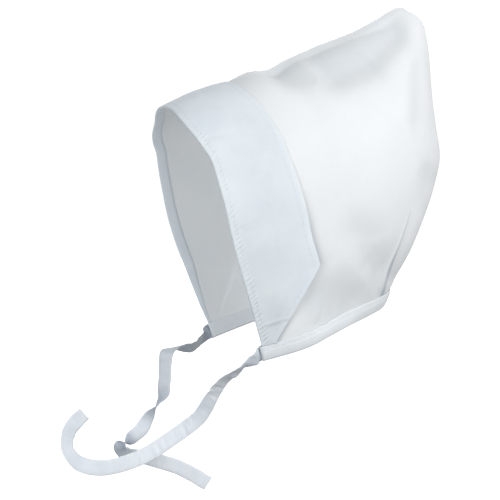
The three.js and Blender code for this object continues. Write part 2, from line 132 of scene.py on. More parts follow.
FRONT_LINE = [SidePoint(*row) for row in (
    (-0.502, -0.086), (-0.49, -0.122), (-0.462, -0.165), (-0.441, -0.196), (-0.421, -0.227),
    (-0.405, -0.283), (-0.386, -0.349), (-0.365, -0.427), (-0.337, -0.506), (-0.298, -0.597),
    (-0.26, -0.685), (-0.23, -0.755), (-0.2215, -0.787),
)]

# Fullness of the sections as shares of the half width: a row per section from front to back,
# a column per level from the ridge (0) to the hem (1).
FULLNESS_AT = (0, 0.25, 0.5, 0.75, 1)
FULLNESS_DOWN = (0, 0.25, 0.5, 0.75, 1)
FULLNESS = (
    (0.93, 0.93, 0.94, 0.86, 0.71),
    (0.98, 0.99, 1, 0.94, 0.8),
    (0.96, 1, 1, 0.95, 0.8),
    (0.9, 1, 1, 0.95, 0.8),
    (0.8, 0.95, 1, 0.95, 0.8),
)

# The brim's free edge from the ridge down to the band. From the lower back corner on, it is straight between
# the rows.
BRIM_EDGE = [EdgePoint(*row) for row in (
    (0, 0.895), (0.03, 0.935), (0.08, 0.97), (0.15, 0.96), (0.2, 0.94), (0.35, 0.966),
    (0.486, 0.995), (0.545, 0.985), (0.606, 0.98), (0.692, 0.98), (0.7, 0.952), (0.715, 0.899),
    (0.735, 0.828), (0.76, 0.739), (0.8, 0.61), (0.85, 0.455), (0.9, 0.3), (0.93, 0.21),
    (0.945, 0.183), (1, 0.183),
)]
BRIM_CORNER = 0.65

FOLDS = [Fold(*row) for row in (
    (-0.11, 0.008, 0.05, 0.02, 0.9, 1, 0),
    (0.05, 0.02, 0.18, 0.052, 1.3, 1.9, 0),
    (0.18, 0.052, 0.33, 0.135, 1.2, 1.6, 0),
    (0.394, 0.02, 0.355, -0.13, 0.8, 0.45, 0),
    (0.396, -0.28, 0.41, -0.3, 0.8, 0.5, 1),
    (0.09, -0.43, 0.13, -0.455, 1.3, 0.7, 1),
    (0.17, -0.52, 0.21, -0.55, 1.3, 0.8, 1),
    (0.11, -0.45, 0.19, -0.54, 1.3, 0.65, 1),
    (0.12, -0.47, 0.18, -0.52, 1.6, 0.7, -1),
    (0.28, -0.59, 0.36, -0.42, 0.8, -0.5, 0),
    (-0.05, -0.62, 0.06, -0.63, 1.8, 0.8, 0),
    (-0.04, -0.69, -0.035, -0.685, 0.6, 0.5, 1),
)]

# Small sharp folds of the crown
CREASES = [Crease(*row) for row in (
    (-10, -196, -6, -184, 1.8, 0.7, 0.3, 0),
    (24, -190, 22, -178, 1.6, 0.45, 0.2, 0),
    (40, -184, 36, -172, 1.6, 0.45, 0.2, 0),
)]

# The long pleat near the back
PLEAT = [PleatPoint(*row) for row in (
    (-200, 52, 3.8, 3.2, 13), (-176, 55, 3.8, 3.2, 13), (-165, 56.3, 3.6, 2.7, 13),
    (-148, 60, 2.8, 1.8, 10), (-130, 65.3, 1.8, 1.2, 6), (-118, 69, 0.9, 0.8, 4),
    (-112, 70.6, 0.45, 0.6, 3), (-106, 72, 0, 0.6, 3), (-60, 76, 0, 0.6, 3), (0, 80, 0, 0.6, 3),
    (60, 84, 0, 0.6, 3),
)]

# Shallow folds of the brim
BRIM_CREASES = [Crease(*row) for row in (
    (-98, -50, -77, -44, 2.4, 0.25, 0.15, 0),
    (-108, -29, -90, -21, 2.4, 0.2, 0.1, 0),
    (-54, -196, -36, -189, 1.6, 0.45, 0.3, 0),
    (-84, -120, -66, -112, 4, 0.2, 0.1, 0),
)]


def smooth_through(places: Sequence[float], values: np.ndarray, at: np.ndarray) -> np.ndarray:
    """Reads a smooth curve that passes through values at rising places.

    Args:
        places: The n rising places.
        values: n values, or n arrays of the shape of at.
        at: Where the curve is read.

    Returns:
        The curve's values, in the shape of at.
    """
    knots = np.asarray(places, float)
    at = np.clip(np.asarray(at, float), knots[0], knots[-1])
    known = np.asarray(values, float)
    if known.ndim == 1:
        known = np.broadcast_to(known.reshape((-1,) + (1,) * at.ndim), (len(knots),) + at.shape)
    wide = (slice(None),) + (None,) * at.ndim
    ahead = np.minimum(np.arange(len(knots)) + 1, len(knots) - 1)
    behind = np.maximum(np.arange(len(knots)) - 1, 0)
    slopes = (known[ahead] - known[behind]) / (knots[ahead] - knots[behind])[wide]
    k = np.clip(np.searchsorted(knots, at, side="right") - 1, 0, len(knots) - 2)

    def pick(rows: np.ndarray, index: np.ndarray) -> np.ndarray:
        """Takes one row for each place."""
        return np.take_along_axis(rows, index[None], axis=0)[0]

    span = knots[k + 1] - knots[k]
    f = (at - knots[k]) / span
    start = (2 * f - 3) * f * f + 1
    return (start * pick(known, k) + (1 - start) * pick(known, k + 1)
            + span * ((f - 2) * f + 1) * f * pick(slopes, k)
            + span * (f - 1) * f * f * pick(slopes, k + 1))


def smooth_step(value: np.ndarray) -> np.ndarray:
    """Rises smoothly from 0 to 1 while value does."""
    near = np.clip(value, 0, 1)
    return near * near * (3 - 2 * near)


def ramp(value: np.ndarray, start: float, length: float) -> np.ndarray:
    """Rises smoothly from 0 at start to 1 a length further on, or before it where the length is negative."""
    return smooth_step((value - start) / length)


def hump(value: np.ndarray, centre: np.ndarray | float, wide: np.ndarray | float) -> np.ndarray:
    """A soft hump of height 1 around a centre."""
    return np.exp(-((value - centre) / wide) ** 2)


def unit(vectors: np.ndarray) -> np.ndarray:
    """Vectors of length 1, along the last axis."""
    length = np.linalg.norm(vectors, axis=-1, keepdims=True)
    return vectors / np.maximum(length, 1e-12)


def run_length(points: np.ndarray) -> np.ndarray:
    """Distance of each row of points from the first one, measured from row to row."""
    steps = np.linalg.norm(np.diff(points, axis=0), axis=-1)
    return np.concatenate([np.zeros((1, *steps.shape[1:])), np.cumsum(steps, axis=0)])


def moving_mean(values: np.ndarray, count: int) -> np.ndarray:
    """Mean of each value with its neighbours, count in all."""
    return np.convolve(values, np.ones(count) / count, mode="same")


class Patches(NamedTuple):
    """Soft random patches: the distance between their values, the reach of those values and their seed."""

    size: float
    reach: float
    seed: int

    def read(self, u: np.ndarray, v: np.ndarray | float = 0.0) -> np.ndarray:
        """Reads the patches.

        Args:
            u: First coordinate of each place.
            v: Second coordinate of each place.

        Returns:
            A value between -reach and reach for each place.
        """
        lattice = np.random.default_rng(self.seed).uniform(-1, 1, (LATTICE, LATTICE))
        a, b = u / self.size, (v + 0 * u) / self.size
        col, row = np.floor(a).astype(int), np.floor(b).astype(int)
        f, g = smooth_step(a - col), smooth_step(b - row)

        def corner(dc: int, dr: int) -> np.ndarray:
            """The random value at one corner of each place's cell."""
            return lattice[(col + dc) % LATTICE, (row + dr) % LATTICE]

        low = corner(0, 0) * (1 - f) + corner(1, 0) * f
        high = corner(0, 1) * (1 - f) + corner(1, 1) * f
        return (low * (1 - g) + high * g) * self.reach


class MeasuredLine:
    """A smooth side outline that is read by its share of length."""

    STEPS = 240

    def __init__(self, points: Sequence[SidePoint], length: float, height: float) -> None:
        """Measures the line.

        Args:
            points: The points that it passes through.
            length: What a share back is a share of.
            height: What a share up is a share of.
        """
        corners = np.array(points) * (length, height)
        chords = run_length(corners)
        at = np.linspace(0, chords[-1], self.STEPS + 1)
        self.fine = np.stack([smooth_through(chords, corners[:, axis], at) for axis in (0, 1)], -1)
        self.lengths = run_length(self.fine)
        self.total = float(self.lengths[-1])

    def read(self, share: np.ndarray) -> np.ndarray:
        """The places at shares of the length, as (back, up) pairs."""
        want = np.clip(share, 0, 1) * self.total
        return np.stack([np.interp(want, self.lengths, self.fine[:, axis]) for axis in (0, 1)], -1)


@dataclass
class Layer:
    """Points of the cloth on grid lines with their outward directions."""

    points: np.ndarray
    outward: np.ndarray

    def offset(self, distance: np.ndarray | float) -> np.ndarray:
        """The points moved outward by a distance."""
        return self.points + self.outward * np.asarray(distance)[..., None]


@dataclass
class CoifForm:
    """The form that crown, brim and band share.

    The lengths give its size. Reaches and roundnesses shape the ridge and the back, crowdings spread the
    grid lines, and the cells are their numbers. Tuck, seam, pleat, crease and lip are small forms of the
    cloth, and the patches its gathers and unevenness. Ridge, back, hem and front are the side outlines.
    """

    side_length: float = 0.228
    side_height: float = 0.282
    half_width: float = 0.084
    brim_width: float = 0.060
    facing_width: float = 0.008
    right_forward: float = 0.0076
    forward_from: float = 0.5
    forward_full: float = 0.8
    band_height: float = 0.011
    dent_width: float = 0.012
    dent_depth: float = 0.005
    ridge_reach: float = 0.45
    back_reach_top: float = 0.55
    back_reach_hem: float = 0.8
    ridge_roundness: float = 2.2
    peak_roundness: float = 1.8
    ridge_calm: float = 0.010
    ridge_crowding: float = 1.5
    back_crowding: float = 1.6
    facing_share: float = 0.3
    tuck_deep: float = 0.0016
    seam_high: float = 0.00055
    seam_wide: float = 0.0013
    pleat_lip: float = 0.22
    crease_steep: float = 0.4
    crease_end: float = 0.25
    lip_away: float = 1.3
    lip_wide: float = 0.9
    lip_end: float = 0.3
    peak_outward: tuple[float, float, float] = (0, 0.45, 1)
    brim_cells: int = 7
    rear_cells: int = 15
    wall_cells: int = 21
    band_cells: int = 2
    gathers: Patches = Patches(0.0055, 0.0005, 3)
    unevenness: Patches = Patches(0.030, 0.0005, 5)
    small_unevenness: Patches = Patches(0.011, 0.00014, 8)
    seam_lumps: Patches = Patches(0.0026, 0.45, 14)
    seam_swell: Patches = Patches(0.009, 0.3, 15)
    ridge: MeasuredLine = field(init=False)
    back: MeasuredLine = field(init=False)
    hem: MeasuredLine = field(init=False)
    front: MeasuredLine = field(init=False)
    along: int = field(init=False)
    across: int = field(init=False)

    def __post_init__(self) -> None:
        """Measures the four side outlines."""
        def line(rows: Sequence[SidePoint]) -> MeasuredLine:
            """One outline at this form's size."""
            return MeasuredLine(rows, self.side_length, self.side_height)

        self.ridge, self.back = line(RIDGE_LINE), line(BACK_LINE)
        self.hem, self.front = line(HEM_LINE), line(FRONT_LINE)
        self.along = self.brim_cells + self.rear_cells
        self.across = self.wall_cells + self.band_cells

    def side_place(self, s: np.ndarray, t: np.ndarray) -> np.ndarray:
        """Side view places for shares s from front to back and t from ridge to hem."""
        a, b = s[..., None], t[..., None]
        over = self.ridge.read(s) * (1 - b) + self.hem.read(s) * b
        down = self.front.read(t) * (1 - a) + self.back.read(t) * a
        ridge_ends, hem_ends = (line.read(np.array([0.0, 1.0])) for line in (self.ridge, self.hem))
        corners = ((ridge_ends[0] * (1 - a) + ridge_ends[1] * a) * (1 - b)
                   + (hem_ends[0] * (1 - a) + hem_ends[1] * a) * b)
        return over + down - corners

    def width_at(self, s: np.ndarray, t: np.ndarray) -> np.ndarray:
        """Distance of the cloth from the middle plane."""
        def rounded(share: np.ndarray, power: np.ndarray | float) -> np.ndarray:
            """A quarter of a rounded square, from 0 to 1."""
            rest = 1 - np.clip(share, 0, 1)
            return np.maximum(1 - rest ** power, 0) ** (1 / power)

        rows = np.array(FULLNESS)
        levels = np.stack([smooth_through(FULLNESS_AT, rows[:, k], s) for k in range(rows.shape[1])])
        full = smooth_through(FULLNESS_DOWN, levels, t)
        back_reach = self.back_reach_top + (self.back_reach_hem - self.back_reach_top) * t * t
        power = self.ridge_roundness + (self.peak_roundness - self.ridge_roundness) * s
        top = rounded(t / self.ridge_reach, power)
        return self.half_width * full * top * rounded((1 - s) / back_reach, 2)

    def shares(self, i: np.ndarray, j: np.ndarray) -> tuple[np.ndarray, np.ndarray]:
        """Shares (s, t) of grid lines i and j."""
        row = np.abs(j)
        band = self.band_height / self.front.total
        past = (row - self.wall_cells) / self.band_cells
        wall = (1 - band) * (np.minimum(row, self.wall_cells) / self.wall_cells) ** self.ridge_crowding
        t = np.where(row <= self.wall_cells, wall, 1 - band * (1 - past))
        zero = np.zeros_like(t)
        half = np.linalg.norm(self.side_place(zero + 0.5, t) - self.side_place(zero, t), axis=-1)
        down, width = np.array(BRIM_EDGE).T
        edge = np.where(t < BRIM_CORNER, smooth_through(down, width, t), np.interp(t, down, width))
        edge = edge * self.brim_width / (2 * half)
        rest = 1 - np.clip(i - self.brim_cells, 0, None) / self.rear_cells
        rear = 1 - (1 - edge) * rest ** self.back_crowding
        facing = np.minimum(edge * self.facing_share, edge * self.facing_width / self.brim_width)
        brim = np.where(i < 1, facing * i, facing + (edge - facing) * (i - 1) / (self.brim_cells - 1))
        return np.where(i > self.brim_cells, rear, brim), t

    def fold_depth(self, points: np.ndarray) -> tuple[np.ndarray, np.ndarray]:
        """Depth of the deepest broad valley and of the highest swelling at points of the cloth."""
        valley, swelling = np.zeros(points.shape[:-1]), np.zeros(points.shape[:-1])
        for fold in FOLDS:
            start = np.array((fold.back_a * self.side_length, fold.up_a * self.side_height))
            end = np.array((fold.back_b * self.side_length, fold.up_b * self.side_height))
            away = self.distance(points, start, end)[0] / (fold.wide * self.dent_width)
            depth = fold.deep * self.dent_depth * np.exp(-away * away)
            depth = np.where(fold.side * points[..., 0] < 0, 0, depth)
            valley, swelling = np.maximum(valley, depth), np.minimum(swelling, depth)
        return valley, swelling

    @staticmethod
    def distance(points: np.ndarray, start: np.ndarray, end: np.ndarray) -> tuple[np.ndarray, ...]:
        """Distance in the side view from a stretch, its signed part beside it and the share along it."""
        way = end - start
        rest = points[..., 1:] - start
        along = (rest @ way) / (way @ way)
        near = rest - np.clip(along, 0, 1)[..., None] * way
        beside = (rest[..., 0] * way[1] - rest[..., 1] * way[0]) / np.hypot(*way)
        return np.linalg.norm(near, axis=-1), beside, along

    def crease_depth(self, points: np.ndarray, creases: Sequence[Crease]) -> np.ndarray:
        """Depth of sharp folds at points of the cloth, below 0 on their lips."""
        depth = np.zeros(points.shape[:-1])
        for crease in creases:
            start = np.array((crease.back_a, crease.up_a)) * MM
            end = np.array((crease.back_b, crease.up_b)) * MM
            away, beside, along = self.distance(points, start, end)
            past_end = np.abs(along - 0.5) - 0.5
            steep = np.where(beside > 0, 1, self.crease_steep)
            wide = crease.wide * MM
            valley = crease.deep * hump(away, 0, wide * steep)
            lip = crease.lip * hump(beside, -self.lip_away * wide, self.lip_wide * wide)
            made = (valley - lip * ramp(past_end, self.lip_end, -0.5)) * MM
            made *= hump(np.clip(past_end, 0, None), 0, self.crease_end)
            depth += np.where(crease.side * points[..., 0] < 0, 0, made)
        return depth

    def smooth(self, lines: np.ndarray, rows: np.ndarray) -> np.ndarray:
        """Points of the cloth without its folds."""
        s, t = self.shares(lines, rows)
        place = self.side_place(s, t)
        x = np.sign(rows) * self.width_at(s, t)
        right = ramp(-x / self.half_width, self.forward_from, self.forward_full - self.forward_from)
        forward = self.right_forward * (1 - s) ** 2 * right
        return np.stack([x, place[..., 0] - forward, place[..., 1]], -1)

    def layer(self, i: np.ndarray, j: np.ndarray, folded: bool, fine: bool = False) -> Layer:
        """Builds the cloth on grid lines. Over the brim it runs straight from the ridge to the first row.

        Args:
            i: Rising grid lines from front to back, or a row of them for each j.
            j: Grid lines from -23 to 23, the same on both sides.
            folded: Whether the broad folds of the crown are in it.
            fine: Whether the sharp folds and the unevenness of the cloth are in it too.

        Returns:
            The layer, with a row for each i and a column for each j.
        """
        lines = np.broadcast_to(i if i.ndim == 2 else i[:, None], (len(i), len(j)))
        rows = np.broadcast_to(j[None], lines.shape)
        points = self.smooth(lines, rows)
        share = np.clip(np.abs(rows), 0, 1)[..., None]
        straight = (self.smooth(lines, np.zeros_like(rows)) * (1 - share)
                    + self.smooth(lines, np.sign(rows) * 1.0) * share)
        flat = (ramp(lines, self.brim_cells + 3, -4) * (np.abs(rows) < 1))[..., None]
        points = points * (1 - flat) + straight * flat
        near = smooth_step(np.abs(points[..., 0]) / self.ridge_calm)
        outward = self.outward(points, lines)
        if folded:
            valley, swelling = self.fold_depth(points)
            under = np.clip((lines - 1) / (self.brim_cells - 1), 0, 1) ** 2
            depth = valley * under + np.where(lines > self.brim_cells, swelling, 0)
            if fine:
                depth = depth + self.fine_depth(points, lines, rows) * under
            depth = depth * near - (self.seam_height(points, lines) if fine else 0)
            points = points - outward * depth[..., None]
            outward = self.outward(points, lines)
        return Layer(points, outward)

    def fine_depth(self, points: np.ndarray, lines: np.ndarray, rows: np.ndarray) -> np.ndarray:
        """Depth of the sharp folds, the tuck behind the brim, the gathers and the cloth's unevenness."""
        down = np.abs(rows) / self.wall_cells
        tuck = (self.tuck_deep * hump(lines, self.brim_cells + 0.35, 0.9)
                * ramp(down, 0.45, 0.3) * ramp(down, 1.04, -0.14))
        y, z = points[..., 1], points[..., 2]
        uneven = (self.gathers.read(y, z * 0.15) * ramp(down, 0.86, 0.1)
                  + self.unevenness.read(y + 0.4 * z, z - 0.2 * y)
                  + self.small_unevenness.read(y - 0.3 * z, z * 0.6))
        sharp = self.crease_depth(points, CREASES) + self.pleat_depth(points)
        return (sharp + tuck + uneven * ramp(lines, self.along, -1.5)) * ramp(down, 1, -0.045)

    @staticmethod
    def pleat_at(points: np.ndarray) -> tuple[np.ndarray, ...]:
        """Distance behind the long pleat, then its depth, width and panel there, all in millimetres."""
        heights, *columns = np.array(PLEAT).T
        back, deep, wide, panel = (smooth_through(heights, column, points[..., 2] / MM) for column in columns)
        return points[..., 1] / MM - back, deep, wide, panel

    def pleat_depth(self, points: np.ndarray) -> np.ndarray:
        """Depth of the long pleat: a narrow step down, behind which the cloth slowly comes up again."""
        beside, deep, wide, panel = self.pleat_at(points)
        behind = hump(np.clip(beside - wide, 0, None), 0, panel)
        lip = self.pleat_lip * hump(beside, -1.2, 1.5)
        return (smooth_step(beside / wide) * behind - lip) * deep * MM

    def painted_shade_share(self, points: np.ndarray, lines: np.ndarray, rows: np.ndarray) -> np.ndarray:
        """Painted shade on the crown, from 0 to 1: in the pleat, along the tuck under the brim's edge, in the
        broad valleys, and faintly on the lower crown behind the brim.
        """
        beside, deep, wide, _ = self.pleat_at(points)
        deep = deep / max(row.deep for row in PLEAT)
        pleat = hump(beside, wide * 0.7, wide) * np.clip(0.3 * smooth_step(deep * 8) + deep, 0, 1)
        down = np.abs(rows) / self.wall_cells
        past = lines - self.brim_cells
        tuck = 0.6 * hump(np.clip(past - 0.05, 0, None), 0, 0.28) * ramp(down, 0.5, 0.3)
        valley = 0.28 * self.fold_depth(points)[0] / (8 * MM) * smooth_step(past)
        lower = 0.12 * ramp(down, 0.6, 0.3) * smooth_step(past / 2) * ramp(lines, self.along - 3, -6)
        return np.clip(pleat + tuck + valley + lower, 0, 1)

    def pleat_line(self, rows: np.ndarray) -> np.ndarray:
        """The grid line on which the pleat lies, for each row."""
        lines = np.linspace(self.brim_cells + 1, self.along - 0.5, 120)
        beside = self.pleat_at(self.smooth(*np.meshgrid(lines, rows, indexing="ij")))[0]
        return np.array([np.interp(0, beside[:, k], lines) for k in range(len(rows))])

    def seam_height(self, points: np.ndarray, lines: np.ndarray) -> np.ndarray:
        """Height of the narrow felled seam along the ridge, from the brim to the peak."""
        y = points[..., 1]
        uneven = 1 + self.seam_lumps.read(y) + self.seam_swell.read(y)
        ends = ramp(lines, self.brim_cells, 0.8) * ramp(lines, self.along, -0.6)
        return self.seam_high * uneven * ends * np.exp(-(points[..., 0] / self.seam_wide) ** 4)

    def outward(self, points: np.ndarray, lines: np.ndarray) -> np.ndarray:
        """Outward directions of a grid whose two halves meet along the back."""
        before = np.concatenate([points[:1], points[:-1]])
        meets = lines[-1, 0] >= self.along - 1e-6
        beyond = points[-2:-1, ::-1] if meets else points[-1:]
        after = np.concatenate([points[1:], beyond])
        left = np.concatenate([points[:, 1:], points[:, -1:]], axis=1)
        right = np.concatenate([points[:, :1], points[:, :-1]], axis=1)
        outward = unit(np.cross(left - right, after - before))
        middle = points.shape[1] // 2
        outward[:, middle, 0] = 0
        if meets:
            outward[-1, :, 0] = 0
            outward[-1, middle] = self.peak_outward
        return unit(outward)


class Shell:
    """Collects grids of points and the faces between them, and turns them into a mesh."""

    def __init__(self) -> None:
        """Starts an empty shell."""
        self.points: list[np.ndarray] = []
        self.uvs: list[np.ndarray] = []
        # The first share is painted shade in the folds, the second a painted glow on the faces toward the
        # hollow.
        self.shares: dict[str, list[np.ndarray]] = {"Fold": [], "Inside": []}
        self.faces: list[np.ndarray] = []
        self.count = 0

    def add(self, grid: np.ndarray, uv: np.ndarray, fold: np.ndarray | float = 0.0,
            inside: np.ndarray | float = 0.0) -> np.ndarray:
        """Adds a grid of points.

        Args:
            grid: The points, with any number of axes before the last.
            uv: Their places on the cloth, in metres.
            fold: Painted shade, from 0 to 1, which darkens their colour where they lie deep in a fold or a
                twist.
            inside: Painted glow, from 0 to 1, on faces toward the hollow, standing in for the light that
                comes through the cloth.

        Returns:
            The points' numbers, in the grid's shape.
        """
        size = int(np.prod(grid.shape[:-1]))
        self.points.append(grid.reshape(-1, 3))
        self.uvs.append(uv.reshape(-1, 2))
        for label, share in (("Fold", fold), ("Inside", inside)):
            self.shares[label].append(np.broadcast_to(share, grid.shape[:-1]).ravel())
        ids = np.arange(self.count, self.count + size).reshape(grid.shape[:-1])
        self.count += size
        return ids

    def quads(self, ids: np.ndarray, flip: bool = False) -> None:
        """Joins neighbouring rows and columns of numbered points with four-sided faces."""
        cells = np.stack([ids[:-1, :-1], ids[:-1, 1:], ids[1:, 1:], ids[1:, :-1]], -1).reshape(-1, 4)
        self.faces.append(cells[:, ::-1] if flip else cells)

    def object(self, name: str, material: bpy.types.Material) -> bpy.types.Object:
        """Makes the mesh object.

        Args:
            name: The piece's name.
            material: Its finish.

        Returns:
            The object, at the origin.
        """
        mesh = bpy.data.meshes.new(name)
        points = np.concatenate(self.points)
        faces = np.concatenate(self.faces)
        mesh.from_pydata(points.tolist(), [], faces.tolist())
        layer = mesh.uv_layers.new(name="Cloth")
        loops = np.empty(len(mesh.loops), np.int32)
        mesh.loops.foreach_get("vertex_index", loops)
        layer.data.foreach_set("uv", np.concatenate(self.uvs)[loops].astype(np.float32).ravel())
        for label, parts in self.shares.items():
            share = mesh.attributes.new(label, "FLOAT", "POINT")
            share.data.foreach_set("value", np.concatenate(parts).astype(np.float32))
        mesh.polygons.foreach_set("use_smooth", np.ones(len(mesh.polygons), bool))
        mesh.materials.append(material)
        mesh.validate()
        mesh.update()
        return put_in_scene(name, mesh)


def put_in_scene(name: str, data: bpy.types.ID | None) -> bpy.types.Object:
    """Makes an object of some data and puts it in the scene."""
    made = bpy.data.objects.new(name, data)
    bpy.context.scene.collection.objects.link(made)
    return made


def at_distance(points: np.ndarray, measure: np.ndarray, distance: np.ndarray | float) -> np.ndarray:
    """Reads each column of a grid where a measure that rises down the column reaches a distance.

    Args:
        points: The grid.
        measure: The measure at each of its points.
        distance: One distance, or one for each column.

    Returns:
        One point for each column.
    """
    column = np.arange(points.shape[1])
    k = np.clip((measure < distance).sum(0) - 1, 0, len(points) - 2)
    low, high = measure[k, column], measure[k + 1, column]
    share = np.clip((distance - low) / np.maximum(high - low, 1e-9), 0, 1)[:, None]
    return points[k, column] * (1 - share) + points[k + 1, column] * share


def cloth_uv(points: np.ndarray) -> np.ndarray:
    """Places on the cloth of a grid: distance from its first row and distance from its middle column."""
    u = run_length(points)
    v = run_length(points.swapaxes(0, 1)).T
    return np.stack([u, v - v[:, points.shape[1] // 2, None]], -1)


class Value:
    """A shader socket that takes part in sums and products."""

    def __init__(self, tree: "Shader", socket: bpy.types.NodeSocket) -> None:
        """Wraps a socket of a tree."""
        self.tree, self.socket = tree, socket

    def _math(self, operation: str, first: "Value | float", second: "Value | float" = 0.0) -> "Value":
        """Adds one Math node."""
        return self.tree.node("ShaderNodeMath", {"operation": operation}, first, second)

    def __add__(self, other: "Value | float") -> "Value":
        """Sum."""
        return self._math("ADD", self, other)

    __radd__ = __add__

    def __sub__(self, other: "Value | float") -> "Value":
        """Difference."""
        return self._math("SUBTRACT", self, other)

    def __rsub__(self, other: "Value | float") -> "Value":
        """Difference the other way round."""
        return self._math("SUBTRACT", other, self)

    def __mul__(self, other: "Value | float") -> "Value":
        """Product."""
        return self._math("MULTIPLY", self, other)

    __rmul__ = __mul__

    def sine(self) -> "Value":
        """Sine of the value in radians."""
        return self._math("SINE", self)

    def clamped(self) -> "Value":
        """The value kept between 0 and 1."""
        return self._math("MINIMUM", self._math("MAXIMUM", self, 0.0), 1.0)


class Shader:
    """A material's node tree, built one node at a time."""

    def __init__(self, name: str) -> None:
        """Starts a material that has only its surface shader and output."""
        self.material = bpy.data.materials.new(name)
        self.material.use_nodes = True
        self.nodes = self.material.node_tree.nodes
        self.links = self.material.node_tree.links
        self.surface = self.nodes["Principled BSDF"]

    def node(self, kind: str, settings: dict[str, object], *values: object, output: int | str = 0) -> Value:
        """Adds any node.

        Args:
            kind: The node's type.
            settings: Its properties, which are set before its sockets.
            values: Values or links for its first sockets in order; None leaves one as it is.
            output: Which of its outputs is returned.

        Returns:
            The chosen output.
        """
        node = self.nodes.new(kind)
        for name, setting in settings.items():
            setattr(node, name, setting)
        for socket, value in zip(node.inputs, values):
            self.plug(socket, value)
        return Value(self, node.outputs[output])

    def plug(self, socket: bpy.types.NodeSocket, value: object) -> None:
        """Links a value to a socket or sets it there; None leaves it as it is."""
        if isinstance(value, Value):
            self.links.new(value.socket, socket)
        elif value is not None:
            socket.default_value = value

    def mix(self, factor: Value | float, first: object, second: object) -> Value:
        """Mixes two colours."""
        node = self.nodes.new("ShaderNodeMix")
        node.data_type = "RGBA"
        colours = [socket for socket in node.inputs if socket.type == "RGBA"]
        self.plug(node.inputs[0], factor)
        self.plug(colours[0], first)
        self.plug(colours[1], second)
        return Value(self, next(socket for socket in node.outputs if socket.type == "RGBA"))

    def noise(self, where: Value, scale: float, detail: float = 2.0) -> Value:
        """Soft noise between 0 and 1."""
        return self.node("ShaderNodeTexNoise", {}, where, None, scale, detail, 0.5)

    def dress(self, values: dict[str, object]) -> bpy.types.Material:
        """Links or sets the surface shader's sockets by name and returns the finished material."""
        for name, value in values.items():
            self.plug(self.surface.inputs[name], value)
        return self.material


Colour = tuple[float, float, float]
Path = tuple[np.ndarray, np.ndarray]


def opaque(colour: Colour) -> tuple[float, float, float, float]:
    """A linear colour with full alpha."""
    return (*colour, 1.0)


@dataclass(frozen=True)
class LinenFinish:
    """Plain woven white cloth with its threads, slubs and slight unevenness of colour, with painted shade in
    its folds and a painted glow on its faces toward the hollow.
    """

    name: str
    colour: Colour
    shade: Colour
    roughness: float = 0.9
    sheen: float = 0.15
    thread: float = 0.0007
    weave: float = 0.35
    crumple: float = 0.6
    uneven: float = 1.1
    through: float = 0.25
    # Strength of the painted glow on the faces toward the hollow, standing in for light through the cloth.
    glow: float = 0.1
    slub_length: float = 100.0
    slub_width: float = 1300.0
    patch_scale: float = 28.0
    crumple_scale: float = 150.0
    # How far the painted shade in the folds darkens the shade colour.
    painted_shade_dimming: Colour = (0.56, 0.6, 0.66)
    bump: float = 0.35
    bump_height: float = 0.0006
    scatter_length: float = 0.0018

    def slubs(self, shader: Shader, where: Value) -> Value:
        """The thicker threads in both directions of the weave, from 0 to 2."""
        scales = ((self.slub_length, self.slub_width, 1.0), (self.slub_width, self.slub_length, 1.0))
        warp, weft = (shader.node("ShaderNodeVectorMath", {"operation": "MULTIPLY"}, where, scale)
                      for scale in scales)
        return shader.noise(warp, 1.0) + shader.noise(weft, 1.0)

    def material(self) -> bpy.types.Material:
        """Builds the material.

        Returns:
            The material, whose patterns follow the piece's own Cloth map.
        """
        shader = Shader(self.name)
        where = shader.node("ShaderNodeUVMap", {"uv_map": "Cloth"})
        u = shader.node("ShaderNodeSeparateXYZ", {}, where)
        v = Value(shader, u.socket.node.outputs[1])
        turn = math.pi / self.thread
        over = (u * turn).sine() * (v * turn).sine()
        slubs = self.slubs(shader, where)
        patchy = shader.noise(where, self.patch_scale, 3.0)
        crumple = shader.noise(where, self.crumple_scale, 4.0)
        tone = patchy * self.uneven + slubs * 0.5 + crumple * 0.3 - self.uneven / 2 - 0.15
        cloth = shader.mix(tone.clamped(), opaque(self.shade), opaque(self.colour))
        # Painted shade: the colour that the folds darken the cloth toward. Painted glow: the colour that the
        # faces toward the hollow emit.
        painted_fold_shade = tuple(part * light for part, light in zip(self.shade, self.painted_shade_dimming))
        lit = tuple(part * self.glow for part in self.colour)
        fold, inside = (shader.node("ShaderNodeAttribute", {"attribute_name": name}, output="Fac").clamped()
                        for name in ("Fold", "Inside"))
        height = (over * self.weave + slubs * 0.8) * 0.05 + crumple * self.crumple
        bump = shader.node("ShaderNodeBump", {})
        for name, value in (("Strength", self.bump), ("Distance", self.bump_height), ("Height", height)):
            shader.plug(bump.socket.node.inputs[name], value)
        return shader.dress({
            # The base colour carries the painted shade in the folds.
            "Base Color": shader.mix(fold, cloth, opaque(painted_fold_shade)),
            "Roughness": (patchy * 0.12 + (self.roughness - 0.06)).clamped(),
            "Normal": bump,
            # The emission carries the painted glow on the faces toward the hollow.
            "Emission Color": shader.mix(inside, opaque((0, 0, 0)), opaque(lit)),
            "Emission Strength": 1.0,
            "Subsurface Weight": self.through,
            "Subsurface Radius": (1.0, 1.0, 1.0),
            "Subsurface Scale": self.scatter_length,
            "Sheen Weight": self.sheen,
            "Sheen Roughness": 0.6,
            "Specular IOR Level": 0.25,
        })


@dataclass(frozen=True)
class ThreadFinish:
    """Sewing thread: two twisted strands, a little glossier than the cloth."""

    name: str
    colour: Colour
    shade: Colour

    def material(self) -> bpy.types.Material:
        """Builds the material.

        Returns:
            The material, whose twist follows Object coordinates.
        """
        shader = Shader(self.name)
        where = shader.node("ShaderNodeTexCoord", {}, output="Object")
        fibres = shader.noise(where, 2600.0, 3.0)
        return shader.dress({
            "Base Color": shader.mix(fibres, opaque(self.shade), opaque(self.colour)),
            "Roughness": (fibres * 0.2 + 0.5).clamped(),
        })


